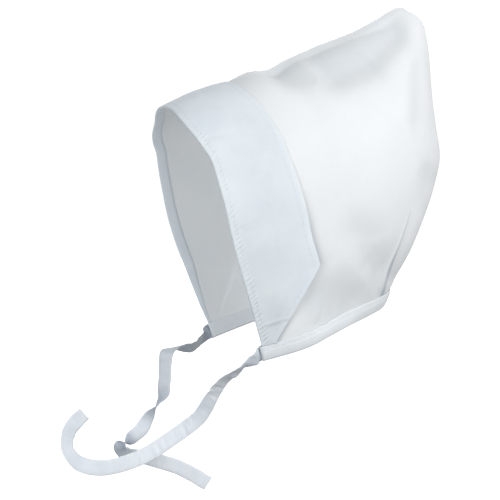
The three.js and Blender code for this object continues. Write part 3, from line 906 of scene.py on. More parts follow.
@dataclass(frozen=True)
class StudioFinish:
    """The plain pale floor."""

    name: str
    colour: Colour
    glow: float

    def material(self) -> bpy.types.Material:
        """Builds the material, which glows faintly so that the floor stays as pale as the backdrop."""
        shader = Shader(self.name)
        where = shader.node("ShaderNodeTexCoord", {}, output="Object")
        grain = shader.noise(where, 60.0, 3.0)
        paler = tuple(min(1.0, part * 1.02) for part in self.colour)
        return shader.dress({
            "Base Color": shader.mix(grain, opaque(self.colour), opaque(paler)),
            "Roughness": 0.8,
            "Emission Color": opaque(self.colour),
            "Emission Strength": self.glow,
        })


class Linen(Enum):
    """The cloth and thread finishes of the coif."""

    CROWN = LinenFinish("crown_linen_finish", (0.855, 0.865, 0.87), (0.79, 0.812, 0.828))
    # The brim's linen is darker and bluer than the crown's: partly its double cloth, partly painted shade for
    # the weaker light it gets.
    BRIM = LinenFinish("brim_linen_shaded_finish", (0.80, 0.842, 0.872), (0.72, 0.772, 0.82), crumple=0.45,
                       uneven=2.4)
    BAND = LinenFinish("band_linen_finish", (0.83, 0.86, 0.885), (0.76, 0.79, 0.82))
    TIE = LinenFinish("tie_linen_finish", (0.815, 0.845, 0.88), (0.74, 0.775, 0.815), thread=0.0006)
    THREAD = ThreadFinish("sewing_thread_finish", (0.78, 0.81, 0.84), (0.60, 0.64, 0.68))


@dataclass
class StitchTree:
    """A Geometry Nodes tree that lays stitches along a path on the cloth."""

    name: str = "stitch_row"
    sockets: dict[str, str] = field(default_factory=dict)

    def build(self) -> bpy.types.NodeTree:
        """Builds the tree, whose sizes are named inputs.

        Returns:
            The node group; its inputs' identifiers are in self.sockets.
        """
        tree = bpy.data.node_groups.new(self.name, "GeometryNodeTree")
        tree.interface.new_socket("Path", in_out="INPUT", socket_type="NodeSocketGeometry")
        for name, kind, value in (
            ("Pitch", "NodeSocketFloat", 0.003),
            ("Length", "NodeSocketFloat", 0.002),
            ("Width", "NodeSocketFloat", 0.0004),
            ("Skew", "NodeSocketFloat", 0.1),
            ("Seed", "NodeSocketInt", 1),
            ("Thread", "NodeSocketMaterial", None),
        ):
            made = tree.interface.new_socket(name, in_out="INPUT", socket_type=kind)
            self.sockets[name] = made.identifier
            if value is not None:
                made.default_value = value
        tree.interface.new_socket("Stitches", in_out="OUTPUT", socket_type="NodeSocketGeometry")
        nodes, links = tree.nodes, tree.links

        def add(kind: str, settings: dict[str, object] | None = None, **inputs: object) -> bpy.types.Node:
            """Adds a node, sets its properties, then its inputs by name with spaces as underscores."""
            node = nodes.new(kind)
            for key, setting in (settings or {}).items():
                setattr(node, key, setting)
            for key, value in inputs.items():
                socket = next(s for s in node.inputs if s.name == key.replace("_", " ") and s.enabled)
                if isinstance(value, bpy.types.NodeSocket):
                    links.new(value, socket)
                else:
                    socket.default_value = value
            return node

        given = add("NodeGroupInput").outputs
        curve = add("GeometryNodeMeshToCurve", Mesh=given["Path"])
        even = add("GeometryNodeResampleCurve", {"mode": "LENGTH"}, Curve=curve.outputs[0],
                   Length=given["Pitch"])
        outward = add("GeometryNodeInputNamedAttribute", {"data_type": "FLOAT_VECTOR"}, Name="outward")
        tangent = add("GeometryNodeInputTangent")
        turned = add("FunctionNodeAxesToRotation", {"primary_axis": "Z", "secondary_axis": "X"},
                     Primary_Axis=outward.outputs[0], Secondary_Axis=tangent.outputs[0])
        low = add("ShaderNodeMath", {"operation": "MULTIPLY"})
        links.new(given["Skew"], low.inputs[0])
        low.inputs[1].default_value = -1.0
        chance = add("FunctionNodeRandomValue", {"data_type": "FLOAT"}, Min=low.outputs[0],
                     Max=given["Skew"], Seed=given["Seed"])
        angle = add("ShaderNodeCombineXYZ", Z=chance.outputs[1])
        twist = add("FunctionNodeEulerToRotation", Euler=angle.outputs[0])
        spun = add("FunctionNodeRotateRotation", {"rotation_space": "LOCAL"},
                   Rotation=turned.outputs[0], Rotate_By=twist.outputs[0])
        bead = add("GeometryNodeMeshIcoSphere", Radius=0.5, Subdivisions=2)
        scale = add("ShaderNodeCombineXYZ", X=given["Length"], Y=given["Width"], Z=given["Width"])
        rows = add("GeometryNodeInstanceOnPoints", Points=even.outputs[0], Instance=bead.outputs[0],
                   Rotation=spun.outputs[0], Scale=scale.outputs[0])
        real = add("GeometryNodeRealizeInstances", Geometry=rows.outputs[0])
        soft = add("GeometryNodeSetShadeSmooth", Geometry=real.outputs[0])
        dressed = add("GeometryNodeSetMaterial", Geometry=soft.outputs[0], Material=given["Thread"])
        out = add("NodeGroupOutput")
        links.new(dressed.outputs[0], out.inputs[0])
        return tree


@dataclass
class Stitches:
    """A row of stitches, or several that make one piece."""

    name: str
    pitch: float = 0.0032
    length: float = 0.0023
    width: float = 0.00045
    skew: float = 0.1
    seed: int = 1

    def build(self, paths: Sequence[Path], tree: bpy.types.NodeTree,
              sockets: dict[str, str], thread: bpy.types.Material) -> bpy.types.Object:
        """Lays the stitches.

        Args:
            paths: For each row its points on the cloth and the outward directions there.
            tree: The stitch tree.
            sockets: The identifiers of the tree's inputs.
            thread: The thread's finish.

        Returns:
            A plain mesh object.
        """
        points, outward = (np.concatenate(parts) for parts in zip(*paths))
        edges, start = [], 0
        for path, _ in paths:
            edges += [(start + k, start + k + 1) for k in range(len(path) - 1)]
            start += len(path)
        base = bpy.data.meshes.new(self.name + "_path")
        base.from_pydata(points.tolist(), edges, [])
        layer = base.attributes.new("outward", "FLOAT_VECTOR", "POINT")
        layer.data.foreach_set("vector", outward.astype(np.float32).ravel())
        guide = put_in_scene(self.name + "_guide", base)
        modifier = guide.modifiers.new("stitches", "NODES")
        modifier.node_group = tree
        for name, value in (("Pitch", self.pitch), ("Length", self.length), ("Width", self.width),
                            ("Skew", self.skew), ("Seed", self.seed), ("Thread", thread)):
            modifier[sockets[name]] = value
        bpy.context.view_layer.update()
        ready = guide.evaluated_get(bpy.context.evaluated_depsgraph_get())
        mesh = bpy.data.meshes.new_from_object(ready)
        guide.modifiers.clear()
        bpy.data.objects.remove(guide)
        bpy.data.meshes.remove(base)
        mesh.name = self.name
        return put_in_scene(self.name, mesh)


@dataclass
class Workshop:
    """What the pieces share: the form, the finishes and the stitch tree."""

    form: CoifForm = field(default_factory=CoifForm)
    stitch_tree: StitchTree = field(default_factory=StitchTree)
    finishes: dict[Linen, bpy.types.Material] = field(init=False)
    tree: bpy.types.NodeTree = field(init=False)

    def __post_init__(self) -> None:
        """Builds the materials and the tree."""
        self.finishes = {finish: finish.value.material() for finish in Linen}
        self.tree = self.stitch_tree.build()

    def sew(self, row: Stitches, paths: Sequence[Path]) -> bpy.types.Object:
        """Lays a row of stitches and lets it ride with the coif."""
        piece = row.build(paths, self.tree, self.stitch_tree.sockets, self.finishes[Linen.THREAD])
        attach(piece, "root")
        return piece


@dataclass
class Crown:
    """The soft hood: one cloth wall with its folds, a ridge seam and gathers above the band."""

    shop: Workshop
    flat: tuple[float, float] = (0.25, 0.56)
    flat_area: float = 0.12
    wall: float = 0.0008
    brim_lines: int = 18
    rear_lines: int = 142
    per_cell: int = 6
    seam_rows: tuple[float, ...] = (0.012, 0.023, 0.036, 0.05, 0.075, 0.11)
    seam_columns: int = 3
    stitch_lift: float = 0.0001

    def lines(self, rows: np.ndarray) -> np.ndarray:
        """Grid lines from front to back for each row, closer together along the pleat and behind the brim."""
        form = self.shop.form
        share = np.linspace(0, 1, 800)
        dense = 1 + 7 * hump(share, 0.5, 0.045) + 0.8 * hump(share, 0, 0.08)
        total = np.concatenate([[0], np.cumsum((dense[1:] + dense[:-1]) / 2)])
        even = np.interp(np.linspace(0, total[-1], self.rear_lines + 1), total, share)[:, None]
        pleat = (form.pleat_line(rows) - form.brim_cells)[None]
        rear = np.where(even < 0.5, even * 2 * pleat, pleat + (even - 0.5) * 2 * (form.rear_cells - pleat))
        front = np.linspace(0, form.brim_cells, self.brim_lines, endpoint=False)[:, None]
        return np.concatenate([front + 0 * pleat, form.brim_cells + rear])

    def build(self) -> bpy.types.Object:
        """Makes the crown.

        Returns:
            The piece that stands for the CAD crown.
        """
        form = self.shop.form
        even = np.linspace(0, form.across, form.across * self.per_cell + 1)[1:]
        side = np.union1d(even, self.seam_rows)
        across = np.concatenate([-side[::-1], [0], side])
        lines = self.lines(across)
        layer = form.layer(lines, across, folded=True, fine=True)
        shell = Shell()
        uv = cloth_uv(layer.points)
        # Painted shade in the folds of the outer sheet, and a painted glow on the inner sheet toward the
        # hollow.
        fold = form.painted_shade_share(layer.points, lines, np.broadcast_to(across[None], lines.shape))
        sheets = []
        middle = len(side)
        for lift, deep, inside in ((0.0, fold, 0.0), (-self.wall, 0.0, 1.0)):
            ids = shell.add(layer.offset(np.full(lines.shape, lift)), uv, deep, inside)
            ids[-1, middle + 1:] = ids[-1, :middle][::-1]
            sheets.append(ids)
        outer, inner = sheets
        shell.quads(outer)
        shell.quads(inner, flip=True)
        shell.quads(np.stack([inner[:, 0], outer[:, 0]], -1))
        shell.quads(np.stack([outer[:, -1], inner[:, -1]], -1))
        shell.quads(np.stack([outer[0], inner[0]], -1))
        piece = shell.object("crown_cloth", self.shop.finishes[Linen.CROWN])
        remove_loose(piece)
        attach(piece, "root")
        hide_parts("crown")
        rear = slice(*np.searchsorted(lines[:, middle], (form.brim_cells + 0.3, form.along - 0.5)))
        paths = []
        for column in (middle - self.seam_columns, middle + self.seam_columns):
            outward = layer.outward[rear, column]
            paths.append((layer.points[rear, column] + outward * self.stitch_lift, outward))
        seam = self.shop.sew(
            Stitches("ridge_seam_stitches", pitch=0.0034, length=0.0017, skew=0.5, seed=5), paths)
        return piece


def remove_loose(piece: bpy.types.Object) -> None:
    """Deletes points that no face uses."""
    mesh = piece.data
    used = np.zeros(len(mesh.vertices), bool)
    loops = np.empty(len(mesh.loops), np.int32)
    mesh.loops.foreach_get("vertex_index", loops)
    used[loops] = True
    if used.all():
        return
    work = bmesh.new()
    work.from_mesh(mesh)
    work.verts.ensure_lookup_table()
    bmesh.ops.delete(work, geom=[work.verts[int(k)] for k in np.flatnonzero(~used)], context="VERTS")
    work.to_mesh(mesh)
    work.free()


@dataclass
class Brim:
    """The turned-back front: an outer layer, a fold around the crown's front edge and a narrow facing.

    Lift is how far its free edge stands off the crown, and corner_lift how much further its lower back corner
    does. The puckers run along the front stitches, and the hem along the free edge.
    """

    shop: Workshop
    flat: tuple[float, float] = (0.07, 0.5)
    flat_area: float = 0.029
    wall: float = 0.0006
    gap: float = 0.0002
    crown_wall: float = 0.0008
    lift: float = 0.0019
    corner_lift: float = 0.0018
    pucker: float = 0.0005
    pucker_length: float = 0.0036
    hem_width: float = 0.0045
    stitch_lift: float = 0.00006
    per_cell: int = 14
    wave_drift: Patches = Patches(0.014, 2.5, 11)
    wave_strength: Patches = Patches(0.02, 0.4, 12)
    unevenness: Patches = Patches(0.02, 0.0003, 21)
    small_unevenness: Patches = Patches(0.012, 0.00015, 22)

    def rise(self, lines: np.ndarray, down: np.ndarray) -> np.ndarray:
        """How far the brim stands off the crown, more toward its free edge and its lower back corner.

        Args:
            lines: Grid lines from front to back.
            down: Shares of the way from the ridge to the hem.

        Returns:
            The heights, with a row for each line and a column for each share.
        """
        share = np.clip((lines - 1) / (self.shop.form.brim_cells - 1), 0, 1)[:, None]
        level = self.lift * (0.35 + 0.65 * ramp(down, 0.3, 0.3)) * (1 - 0.6 * down ** 6)
        return self.gap + share ** 2 * (level + self.corner_lift * hump(down, 0.86, 0.12))

    def surface(self, outer: Layer, along: np.ndarray, from_front: np.ndarray,
                down: np.ndarray) -> np.ndarray:
        """Height of the brim's puckers, creases, unevenness and hem above its smooth outer layer.

        Args:
            outer: The brim's place on the coif, from front to back.
            along: Distance of each column from the ridge, along the front edge.
            from_front: Distance of each point from the front edge.
            down: Share of each column's way from the ridge to the hem.

        Returns:
            A height for each point of the layer.
        """
        turn = 2 * math.pi * (along[None] + 0.5 * from_front) / self.pucker_length
        strong = ramp(down, 0.15, 0.3) * (0.95 + self.wave_strength.read(along))
        ripple = (self.pucker * np.sin(turn + self.wave_drift.read(along)[None])
                  * hump(from_front, 0.003, 0.0032) * strong[None])
        y, z = outer.points[..., 1], outer.points[..., 2]
        uneven = self.unevenness.read(y + 0.5 * z, z) + self.small_unevenness.read(y * 2 - z, z * 0.7 + y)
        creases = self.shop.form.crease_depth(outer.points, BRIM_CREASES)
        from_edge = from_front[-1][None] - from_front
        hem = 0.00012 * smooth_step((self.hem_width - from_edge) / 0.0009 + 0.5)
        return ripple + (uneven - creases) * smooth_step(from_front / 0.01) + hem

    def around_edge(self, outer: Layer, reach: float, angles: Sequence[float]) -> np.ndarray:
        """Rows of points around the crown's front edge, at a reach from it and at angles in degrees."""
        ahead = unit(outer.points[0] - outer.points[6])
        rows = []
        for angle in map(math.radians, angles):
            out = math.sin(angle) * (reach + self.crown_wall / 2) - self.crown_wall / 2
            rows.append(outer.points[0] + outer.outward[0] * out + ahead * math.cos(angle) * reach)
        return np.stack(rows)

    def facing(self, across: np.ndarray) -> tuple[np.ndarray, np.ndarray]:
        """The facing's side toward the hollow and its side toward the crown, both from front to back."""
        lines = np.array([0, 0.35, 0.7, 1.0])
        thin = np.array([1, 1, 0.85, 0.4])[:, None]
        seal = np.linspace(-self.gap, 0.3 * MM, len(lines))[:, None]
        layer = self.shop.form.layer(lines, across, folded=False)
        every = np.ones((1, len(across)))
        return (layer.offset((-self.crown_wall - (self.gap + self.wall) * thin) * every),
                layer.offset((seal - self.crown_wall) * every))

    def build(self) -> bpy.types.Object:
        """Makes the brim.

        Returns:
            The piece that stands for the CAD brim.
        """
        form, cells = self.shop.form, self.shop.form.brim_cells
        count = 2 * form.wall_cells * self.per_cell + 1
        across = np.linspace(-form.wall_cells, form.wall_cells, count)
        down = np.abs(across) / form.wall_cells
        outer_lines = np.concatenate([np.linspace(0, 0.86, 7), np.linspace(1, cells - 1.2, 30),
                                      cells - 0.12 * np.arange(8, -1, -1)])
        inner_lines = np.concatenate([np.linspace(0, 1, 3), np.linspace(1.6, cells, 11)])
        outer = form.layer(outer_lines, across, folded=False)
        inner = form.layer(inner_lines, across, folded=False)
        along = run_length(outer.points[0])
        along -= along[count // 2]
        from_front = run_length(outer.points)
        over = self.rise(outer_lines, down) + self.wall + self.surface(outer, along, from_front, down)
        top = outer.offset(over)
        under = inner.offset(self.rise(inner_lines, down))
        folds = self.around_edge(outer, self.gap + self.wall, (65, 40, 15, -15, -40, -65))
        bends = self.around_edge(outer, self.gap, (-45, 0, 45))
        inside, inside_top = self.facing(across)
        edge_round = (top[-1] + under[-1]) / 2 + unit(top[-1] - top[-2]) * self.wall * 0.5
        loop = np.concatenate([top[::-1], folds, inside, inside_top[::-1], bends, under, edge_round[None]])
        # Painted glow, rising around the fold at the front edge and full on the facing, the faces toward the
        # hollow.
        lit = np.zeros(len(loop))
        first = len(top) + len(folds)
        lit[len(top):first] = np.linspace(0, 1, len(folds))
        lit[first:first + len(inside)] = 1
        shell = Shell()
        uv = np.stack(np.broadcast_arrays(run_length(loop[:, count // 2])[:, None], along[None]), -1)
        ids = shell.add(loop, uv, inside=lit[:, None])
        shell.quads(np.concatenate([ids, ids[:1]]), flip=True)
        piece = shell.object("brim_cloth", self.shop.finishes[Linen.BRIM])
        close_ends(piece)
        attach(piece, "root")
        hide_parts("brim")
        shown = slice(3, -3)
        rows = []
        for distance in (0.0042, from_front[-1] - self.hem_width):
            outward = unit(at_distance(outer.outward, from_front, distance))
            path = at_distance(top, from_front, distance) + outward * self.stitch_lift
            rows.append((path[shown], outward[shown]))
        front_row = self.shop.sew(
            Stitches("brim_front_stitches", pitch=self.pucker_length, length=0.0021, skew=0.25, seed=7),
            rows[:1])
        hem_row = self.shop.sew(
            Stitches("brim_hem_stitches", pitch=0.0052, length=0.0013, width=0.0004, skew=0.4, seed=8),
            rows[1:])
        return piece


def close_ends(piece: bpy.types.Object) -> None:
    """Closes the open rings of a tube-like mesh and points its faces outward."""
    work = bmesh.new()
    work.from_mesh(piece.data)
    edges = [edge for edge in work.edges if edge.is_boundary]
    bmesh.ops.triangle_fill(work, edges=edges, use_beauty=True)
    bmesh.ops.recalc_face_normals(work, faces=work.faces)
    for face in work.faces:
        face.smooth = True
    work.to_mesh(piece.data)
    work.free()


@dataclass
class NeckBand:
    """The folded casing around the crown's hem, stitched along its upper edge.

    Belly is how far its middle stands out, groove how deep a row of stitches draws it in, and turn_in half
    the width of the fold below the hem. Rings are its points around it, one ring after another, and half is
    how many of a ring's points lie on the outside, from the upper edge down.
    """

    shop: Workshop
    gap: float = 0.00035
    wall: float = 0.0012
    crown_wall: float = 0.0012
    room: float = 0.0022
    per_cell: int = 8
    row_count: int = 25
    stitch_rows: tuple[float, float] = (0.11, 0.27)
    stitch_lift: float = 0.00008
    belly: float = 0.0007
    edge_drop: float = 0.0005
    groove: float = 0.00045
    groove_wide: float = 0.045
    turn_in: float = 0.0011
    flat: tuple[float, float] = (0.03, 0.41)
    gathers: Patches = Patches(0.0038, 0.00028, 31)
    swells: Patches = Patches(0.009, 0.00035, 32)
    rings: np.ndarray = field(init=False)
    half: int = field(init=False)

    def hem(self) -> tuple[Layer, int]:
        """The crown's cloth inside the band, from one front corner around the back to the other.

        Returns:
            The layer, with a column for each row of the cloth down to its edge, and its number of columns.
        """
        form = self.shop.form
        lines = np.linspace(0, form.along, form.along * self.per_cell + 1)
        rows = np.linspace(form.wall_cells, form.across, self.row_count)
        upper = np.linspace(0, form.wall_cells, form.wall_cells * 2, endpoint=False)
        side = np.concatenate([upper[1:], rows])
        layer = form.layer(lines, np.concatenate([-side[::-1], [0], side]), folded=True)
        half = len(rows)
        points, outward = (np.concatenate([whole[:, -half:], whole[::-1, :half][1:, ::-1]])
                           for whole in (layer.points, layer.outward))
        outward[len(lines) - 1, :, 0] = 0
        return Layer(points, unit(outward)), half

    def build(self) -> bpy.types.Object:
        """Makes the band.

        Returns:
            The piece that stands for the CAD band.
        """
        layer, half = self.hem()
        points, outward = layer.points, layer.outward
        far = self.gap + self.wall
        way = run_length(points[:, 0])
        share = np.linspace(0, 1, half)[None]
        ends = smooth_step(np.minimum(way, way[-1] - way) / 0.006)[:, None]
        gathers = (self.gathers.read(way[:, None], share * 0.004)
                   + self.swells.read(way[:, None], share * 0.004)) * ends
        belly = self.belly * np.sin(math.pi * np.clip(share * 1.05, 0, 1)) ** 0.7
        groove = self.groove * sum(hump(share, at, self.groove_wide) for at in self.stitch_rows)
        outside = layer.offset(far + belly - self.edge_drop * (share == 0) - groove + gathers)
        inside = (points - outward * (self.crown_wall + far))[:, ::-1]
        below = points[:, -1] + unit(points[:, -1] - points[:, 0]) * (far * 0.9)
        below = below - outward[:, -1] * self.crown_wall / 2
        lower = np.stack([below + outward[:, -1] * out for out in (self.turn_in, -self.turn_in)], 1)
        slot = [points[:, ::4] + outward[:, ::4] * out for out in (-self.crown_wall - self.gap, self.gap)]
        rings = np.concatenate([outside, lower, inside, slot[0], slot[1][:, ::-1]], axis=1)
        for end, neighbour in ((0, 1), (-1, -2)):
            centre = rings[end].mean(0)
            ahead = unit(centre - rings[neighbour].mean(0))
            rings[end] += ahead * (self.room - (rings[end] - centre) @ ahead)[:, None]
        shell = Shell()
        turn = run_length(rings[20])
        uv = np.stack(np.broadcast_arrays(way[:, None], turn[None]), -1)
        around = np.arange(rings.shape[1])
        # Painted glow on the band's inner side, toward the hollow.
        ids = shell.add(rings, uv, inside=(around >= half + 2) & (around < 2 * half + 2))
        shell.quads(np.concatenate([ids, ids[:, :1]], axis=1))
        piece = shell.object("neck_band_cloth", self.shop.finishes[Linen.BAND])
        close_ends(piece)
        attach(piece, "root")
        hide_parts("neck_band")
        self.rings, self.half = rings, half
        paths = []
        for at in self.stitch_rows:
            column = round(at * (half - 1))
            directions = outward[4:-4, column]
            paths.append((rings[4:-4, column] + directions * self.stitch_lift, directions))
        stitches = self.shop.sew(
            Stitches("neck_band_stitches", pitch=0.003, length=0.0019, width=0.00042, skew=0.12, seed=9),
            paths)
        return piece

    def end(self, first: bool) -> tuple[np.ndarray, np.ndarray, np.ndarray]:
        """One end of the band: its centre, the direction up across it and the direction in which it ends."""
        ring, neighbour = (self.rings[0], self.rings[1]) if first else (self.rings[-1], self.rings[-2])
        centre = ring.mean(0)
        return centre, unit(ring[0] - ring[self.half - 1]), unit(centre - neighbour.mean(0))


class TiePoint(NamedTuple):
    """A point of a tie's route in millimetres and the direction across the cloth there."""

    x: float
    y: float
    z: float
    across_x: float
    across_y: float
    across_z: float


TIE_LEFT_ROUTE = [TiePoint(*row) for row in (
    (60.5, -58, -221.5, 0.45, 0.1, 0.9), (57.5, -62.5, -225.5, 0.7, 0.1, 0.6),
    (52, -68, -230, 0.95, -0.2, 0.35), (45, -71.5, -235, 0.65, -0.6, 0.35),
    (31, -77, -245, 0.45, -0.8, 0.3), (21, -83, -259, 0.25, -0.8, 0.5),
    (15, -90, -274, -0.1, -0.8, 0.59), (12, -103, -285, -0.26, -0.54, 0.8),
    (11, -117, -294, -0.25, -0.5, 0.83), (11, -131, -302, -0.24, -0.45, 0.86),
    (12, -148, -308, -0.2, -0.35, 0.91), (13, -166, -311, -0.1, -0.15, 0.98),
    (13, -179, -310, -0.3, 0.1, 0.95), (12, -188.5, -306.5, -0.4, 0.3, 0.86),
    (10, -194.5, -301, -0.55, 0.6, 0.55), (8, -198, -293, -0.5, 0.85, 0.1),
    (6, -196, -282, -0.3, 0.95, -0.12), (5, -191, -275, -0.1, 0.95, -0.27),
    (4, -183, -268, -0.16, 0.82, -0.54),
)]
TIE_RIGHT_ROUTE = [TiePoint(*row) for row in (
    (-59, -64.5, -222, 0.3, 0.1, 0.9), (-54, -71, -225.5, 0.3, 0.2, 0.93),
    (-46, -79, -228, 0.4, 0.35, 0.8), (-33, -96, -225.5, 0.7, 0.6, 0.35),
    (-23, -107.5, -227, 0.65, 0.72, -0.1), (-20, -110, -238, 0.72, 0.68, 0.12),
    (-19, -111, -251, 0.71, 0.63, 0.31), (-19, -112.5, -262, 0.75, 0.55, 0.35),
    (-18, -118, -270, 0.95, -0.1, 0.2), (-17, -125, -279, 0.35, -0.65, 0.45),
    (-16, -131, -288, 0.1, -0.75, 0.65), (-16, -139.5, -295, 0.25, -0.6, 0.75),
    (-16, -149, -302.5, 0.55, 0.8, 0), (-17, -143, -309.5, 0.3, 0.7, 0.65),
    (-17, -127, -313.5, 0.2, 0.25, 0.95), (-17, -114, -318, 0.1, 0.2, 0.95),
    (-17, -99, -324, 0.1, 0.35, 0.9), (-16, -87, -331, 0.1, 0.5, 0.85),
    (-15, -75, -339, 0.1, 0.45, 0.85),
)]


@dataclass
class Tie:
    """A flat folded strip that goes on from an end of the band, stitched along one edge.

    The seam is a shallow groove at a share of the half width. Wrinkle, bend_loss and swell are the heights of
    the cross wrinkles, of what a full bend takes from them, and of the broader unevenness.
    """

    shop: Workshop
    name: str
    node: str
    route: Sequence[TiePoint]
    seed: int
    width: float = 0.0125
    wall: float = 0.001
    steps: int = 420
    half_ring: int = 13
    seam_at: float = -0.72
    seam_wide: float = 0.1
    seam_deep: float = 0.00022
    edge_thick: float = 0.00012
    wrinkle: float = 0.0006
    bend_loss: float = 0.0002
    full_bend: float = 40.0
    swell: float = 0.0003
    stitch_lift: float = 0.0001
    # Twist in radians per metre at which the painted shade of the tie is full.
    painted_shade_full_twist: float = 90.0

    def build(self, start: np.ndarray, start_across: np.ndarray, ahead: np.ndarray) -> bpy.types.Object:
        """Makes the tie, a cord whose far end hangs free.

        Args:
            start: Middle of the band's end.
            start_across: Direction across the band there.
            ahead: Direction in which the band ends.

        Returns:
            The piece that stands for the CAD tie.
        """
        route = np.array(self.route)
        middles = np.concatenate([start[None], route[:, :3] * MM])
        turns = unit(np.concatenate([start_across[None], route[:, 3:]]))
        places = run_length(middles)

        def read(rows: np.ndarray, at: np.ndarray) -> np.ndarray:
            """Reads a smooth curve through rows."""
            return np.stack([smooth_through(places, rows[:, axis], at) for axis in range(3)], -1)

        at = np.linspace(0, places[-1], self.steps + 1)
        line = read(middles, at)
        way = run_length(line)
        tangent = unit(read(middles, at + 0.4 * MM) - read(middles, at - 0.4 * MM))
        tangent[0] = ahead
        wide = read(turns, at)
        wide = unit(wide - (wide * tangent).sum(-1, keepdims=True) * tangent)
        thick = np.cross(tangent, wide)
        bend = moving_mean(np.linalg.norm(np.gradient(tangent, way, axis=0), axis=-1), 25)
        twist = moving_mean(np.abs((np.gradient(wide, way, axis=0) * thick).sum(-1)), 21)
        share = np.linspace(-1, 1, self.half_ring)
        half = 0.5 * self.wall * (1 - np.abs(share) ** 10) ** 0.5 + self.edge_thick
        half = half - self.seam_deep * hump(share, self.seam_at, self.seam_wide)
        ripple = self.ripple(way[:, None], share[None], bend[:, None])
        flat = line[:, None] + share[None, :, None] * wide[:, None] * self.width * 0.5
        front, rear = (flat + thick[:, None] * (ripple + up * half[None])[..., None] for up in (1, -1))
        rings = np.concatenate([front[:, ::-1], rear], axis=1)
        shell = Shell()
        round_way = np.concatenate([share[::-1], share]) * self.width * 0.5
        uv = np.stack(np.broadcast_arrays(way[:, None], round_way[None]), -1)
        # Painted shade where the tie twists, darkest where it turns fastest.
        ids = shell.add(rings, uv, fold=0.75 * np.clip(twist / self.painted_shade_full_twist, 0, 1)[:, None])
        shell.quads(np.concatenate([ids, ids[:, :1]], axis=1))
        piece = shell.object(self.name, self.shop.finishes[Linen.TIE])
        close_ends(piece)
        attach(piece, "root")
        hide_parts(self.node)
        at_seam = int(np.argmin(np.abs(share - self.seam_at)))
        shown, lift = slice(2, -2), thick[2:-2] * self.stitch_lift
        stitches = self.shop.sew(
            Stitches(self.name + "_stitches", pitch=0.0026, length=0.0018, width=0.0004, seed=self.seed),
            [(front[shown, at_seam] + lift, thick[shown]), (rear[shown, at_seam] - lift, -thick[shown])])
        LOG.info("%s is %.4f m long", self.name, way[-1])
        return piece

    def ripple(self, way: np.ndarray, share: np.ndarray, bend: np.ndarray) -> np.ndarray:
        """Fine wrinkles across the strip, a little shallower where it bends, with a slight unevenness.

        Args:
            way: Distance along the tie.
            share: Place across it, from -1 to 1.
            bend: How sharply it bends there, in radians per metre.

        Returns:
            Height of the cloth's middle above the smooth strip.
        """
        deep = self.wrinkle - self.bend_loss * np.clip(bend / self.full_bend, 0, 1)
        cross = Patches(0.0032, 1, self.seed).read(way + 0.0012 * share, share * 0.002 + 0.02)
        broad = Patches(0.009, self.swell, self.seed + 1).read(way, share * 0.004 + 0.01)
        return (cross * deep + broad) * smooth_step(way / 0.006)


class Softbox(NamedTuple):
    """A square area light: its place around the object in degrees, its side and its power in watts."""

    name: str
    azimuth: float
    elevation: float
    size: float
    power: float
    colour: Colour


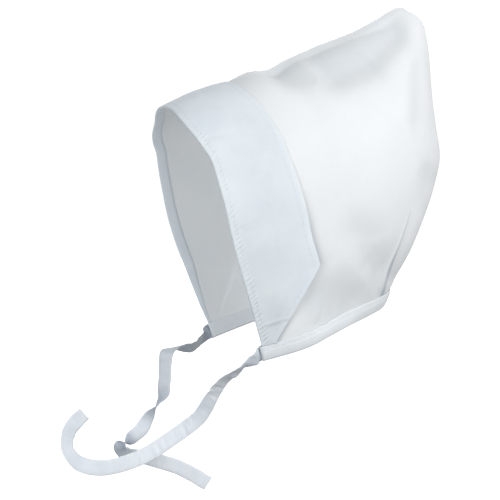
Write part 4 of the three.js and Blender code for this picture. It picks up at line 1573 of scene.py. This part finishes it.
@dataclass
class Studio:
    """A plain pale floor, soft light and the camera at the photograph's viewing angle."""

    floor_height: float = -0.3455
    azimuth: float = 72.0
    elevation: float = 6.0
    distance: float = 1.2
    target: tuple[float, float, float] = (0.0, -0.043, -0.142)
    lens: float = 105.4
    sensor: float = 36.0
    floor_glow: float = 0.66
    light_above: float = 0.55
    light_below: float = 0.22
    light_distance: float = 1.7
    floor_half: float = 12.0
    backdrop: float = 1.1
    sky: Colour = (0.93, 0.97, 1)
    lights: tuple[Softbox, ...] = (
        Softbox("key_light", 118, 20, 0.8, 17.3, (1.0, 0.99, 0.975)),
        Softbox("front_light", 42, 2, 0.8, 8.0, (0.94, 0.97, 1.0)),
        Softbox("far_light", 262, 15, 1.2, 11.0, (0.97, 0.985, 1.0)),
    )

    @staticmethod
    def direction(azimuth: float, elevation: float) -> Vector:
        """Direction from the object to a place around it; azimuth 0 is straight in front of the face."""
        a, e = math.radians(azimuth), math.radians(elevation)
        return Vector((math.sin(a) * math.cos(e), -math.cos(a) * math.cos(e), math.sin(e)))

    def aim(self, item: bpy.types.Object, azimuth: float, elevation: float, distance: float) -> None:
        """Puts a camera or a light at a distance from the target, facing it.

        Args:
            item: The camera or light.
            azimuth: Where it stands around the object, in degrees.
            elevation: Its height angle, in degrees.
            distance: Distance from the target.
        """
        back = self.direction(azimuth, elevation)
        item.location = Vector(self.target) + back * distance
        item.rotation_mode = "QUATERNION"
        item.rotation_quaternion = (-back).to_track_quat("-Z", "Y")

    def camera(self) -> None:
        """Places the camera."""
        data = bpy.data.cameras.new("camera")
        data.lens, data.sensor_width = self.lens, self.sensor
        camera = put_in_scene("camera", data)
        self.aim(camera, self.azimuth, self.elevation, self.distance)
        bpy.context.scene.camera = camera

    def softbox(self, light: Softbox) -> None:
        """Places a light that faces the object."""
        data = bpy.data.lights.new(light.name, "AREA")
        data.shape, data.size, data.energy, data.color = "SQUARE", light.size, light.power, light.colour
        self.aim(put_in_scene(light.name, data), light.azimuth, light.elevation, self.light_distance)

    def floor(self) -> None:
        """Makes the floor, which stays out of the object's own light."""
        half = self.floor_half
        mesh = bpy.data.meshes.new("floor")
        corners = [(-half, -half), (half, -half), (half, half), (-half, half)]
        mesh.from_pydata([(x, y, self.floor_height) for x, y in corners], [], [(0, 1, 2, 3)])
        finish = StudioFinish("pale_floor_finish", (0.94, 0.94, 0.94), self.floor_glow)
        mesh.materials.append(finish.material())
        floor = put_in_scene("floor", mesh)
        floor.visible_diffuse = floor.visible_glossy = floor.visible_shadow = False

    def surroundings(self) -> None:
        """Makes the world: white behind the object, and a soft light that is stronger from above."""
        world = bpy.data.worlds.new("surroundings")
        world.use_nodes = True
        nodes, links = world.node_tree.nodes, world.node_tree.links
        seen = nodes["Background"]
        seen.inputs["Color"].default_value = opaque((1, 1, 1))
        seen.inputs["Strength"].default_value = self.backdrop
        where = nodes.new("ShaderNodeTexCoord")
        parts = nodes.new("ShaderNodeSeparateXYZ")
        links.new(where.outputs["Generated"], parts.inputs[0])
        height = nodes.new("ShaderNodeMapRange")
        links.new(parts.outputs["Z"], height.inputs["Value"])
        for name, value in (("From Min", -1.0), ("From Max", 1.0), ("To Min", self.light_below),
                            ("To Max", self.light_above)):
            height.inputs[name].default_value = value
        lit = nodes.new("ShaderNodeBackground")
        lit.inputs["Color"].default_value = opaque(self.sky)
        links.new(height.outputs["Result"], lit.inputs["Strength"])
        ray = nodes.new("ShaderNodeLightPath")
        mix = nodes.new("ShaderNodeMixShader")
        links.new(ray.outputs["Is Camera Ray"], mix.inputs[0])
        links.new(lit.outputs[0], mix.inputs[1])
        links.new(seen.outputs[0], mix.inputs[2])
        links.new(mix.outputs[0], nodes["World Output"].inputs["Surface"])
        bpy.context.scene.world = world

    def build(self) -> None:
        """Makes the whole studio."""
        self.camera()
        self.floor()
        self.surroundings()
        for light in self.lights:
            self.softbox(light)
        bpy.context.scene.view_settings.view_transform = "Standard"


def main() -> None:
    """Builds the studio and the coif, piece by piece."""
    logging.basicConfig(level=logging.INFO, format="%(name)s: %(message)s")
    Studio().build()
    shop = Workshop()
    band = NeckBand(shop)
    pieces = [Crown(shop).build(), Brim(shop).build(), band.build()]
    for name, node, route, first, seed in (
        ("tie_left_cloth", "tie_left", TIE_LEFT_ROUTE, True, 41),
        ("tie_right_cloth", "tie_right", TIE_RIGHT_ROUTE, False, 51),
    ):
        pieces.append(Tie(shop, name, node, route, seed).build(*band.end(first)))
    for piece in pieces:
        LOG.info("%s: %d faces", piece.name, len(piece.data.polygons))


if __name__ == "__main__":
    main()
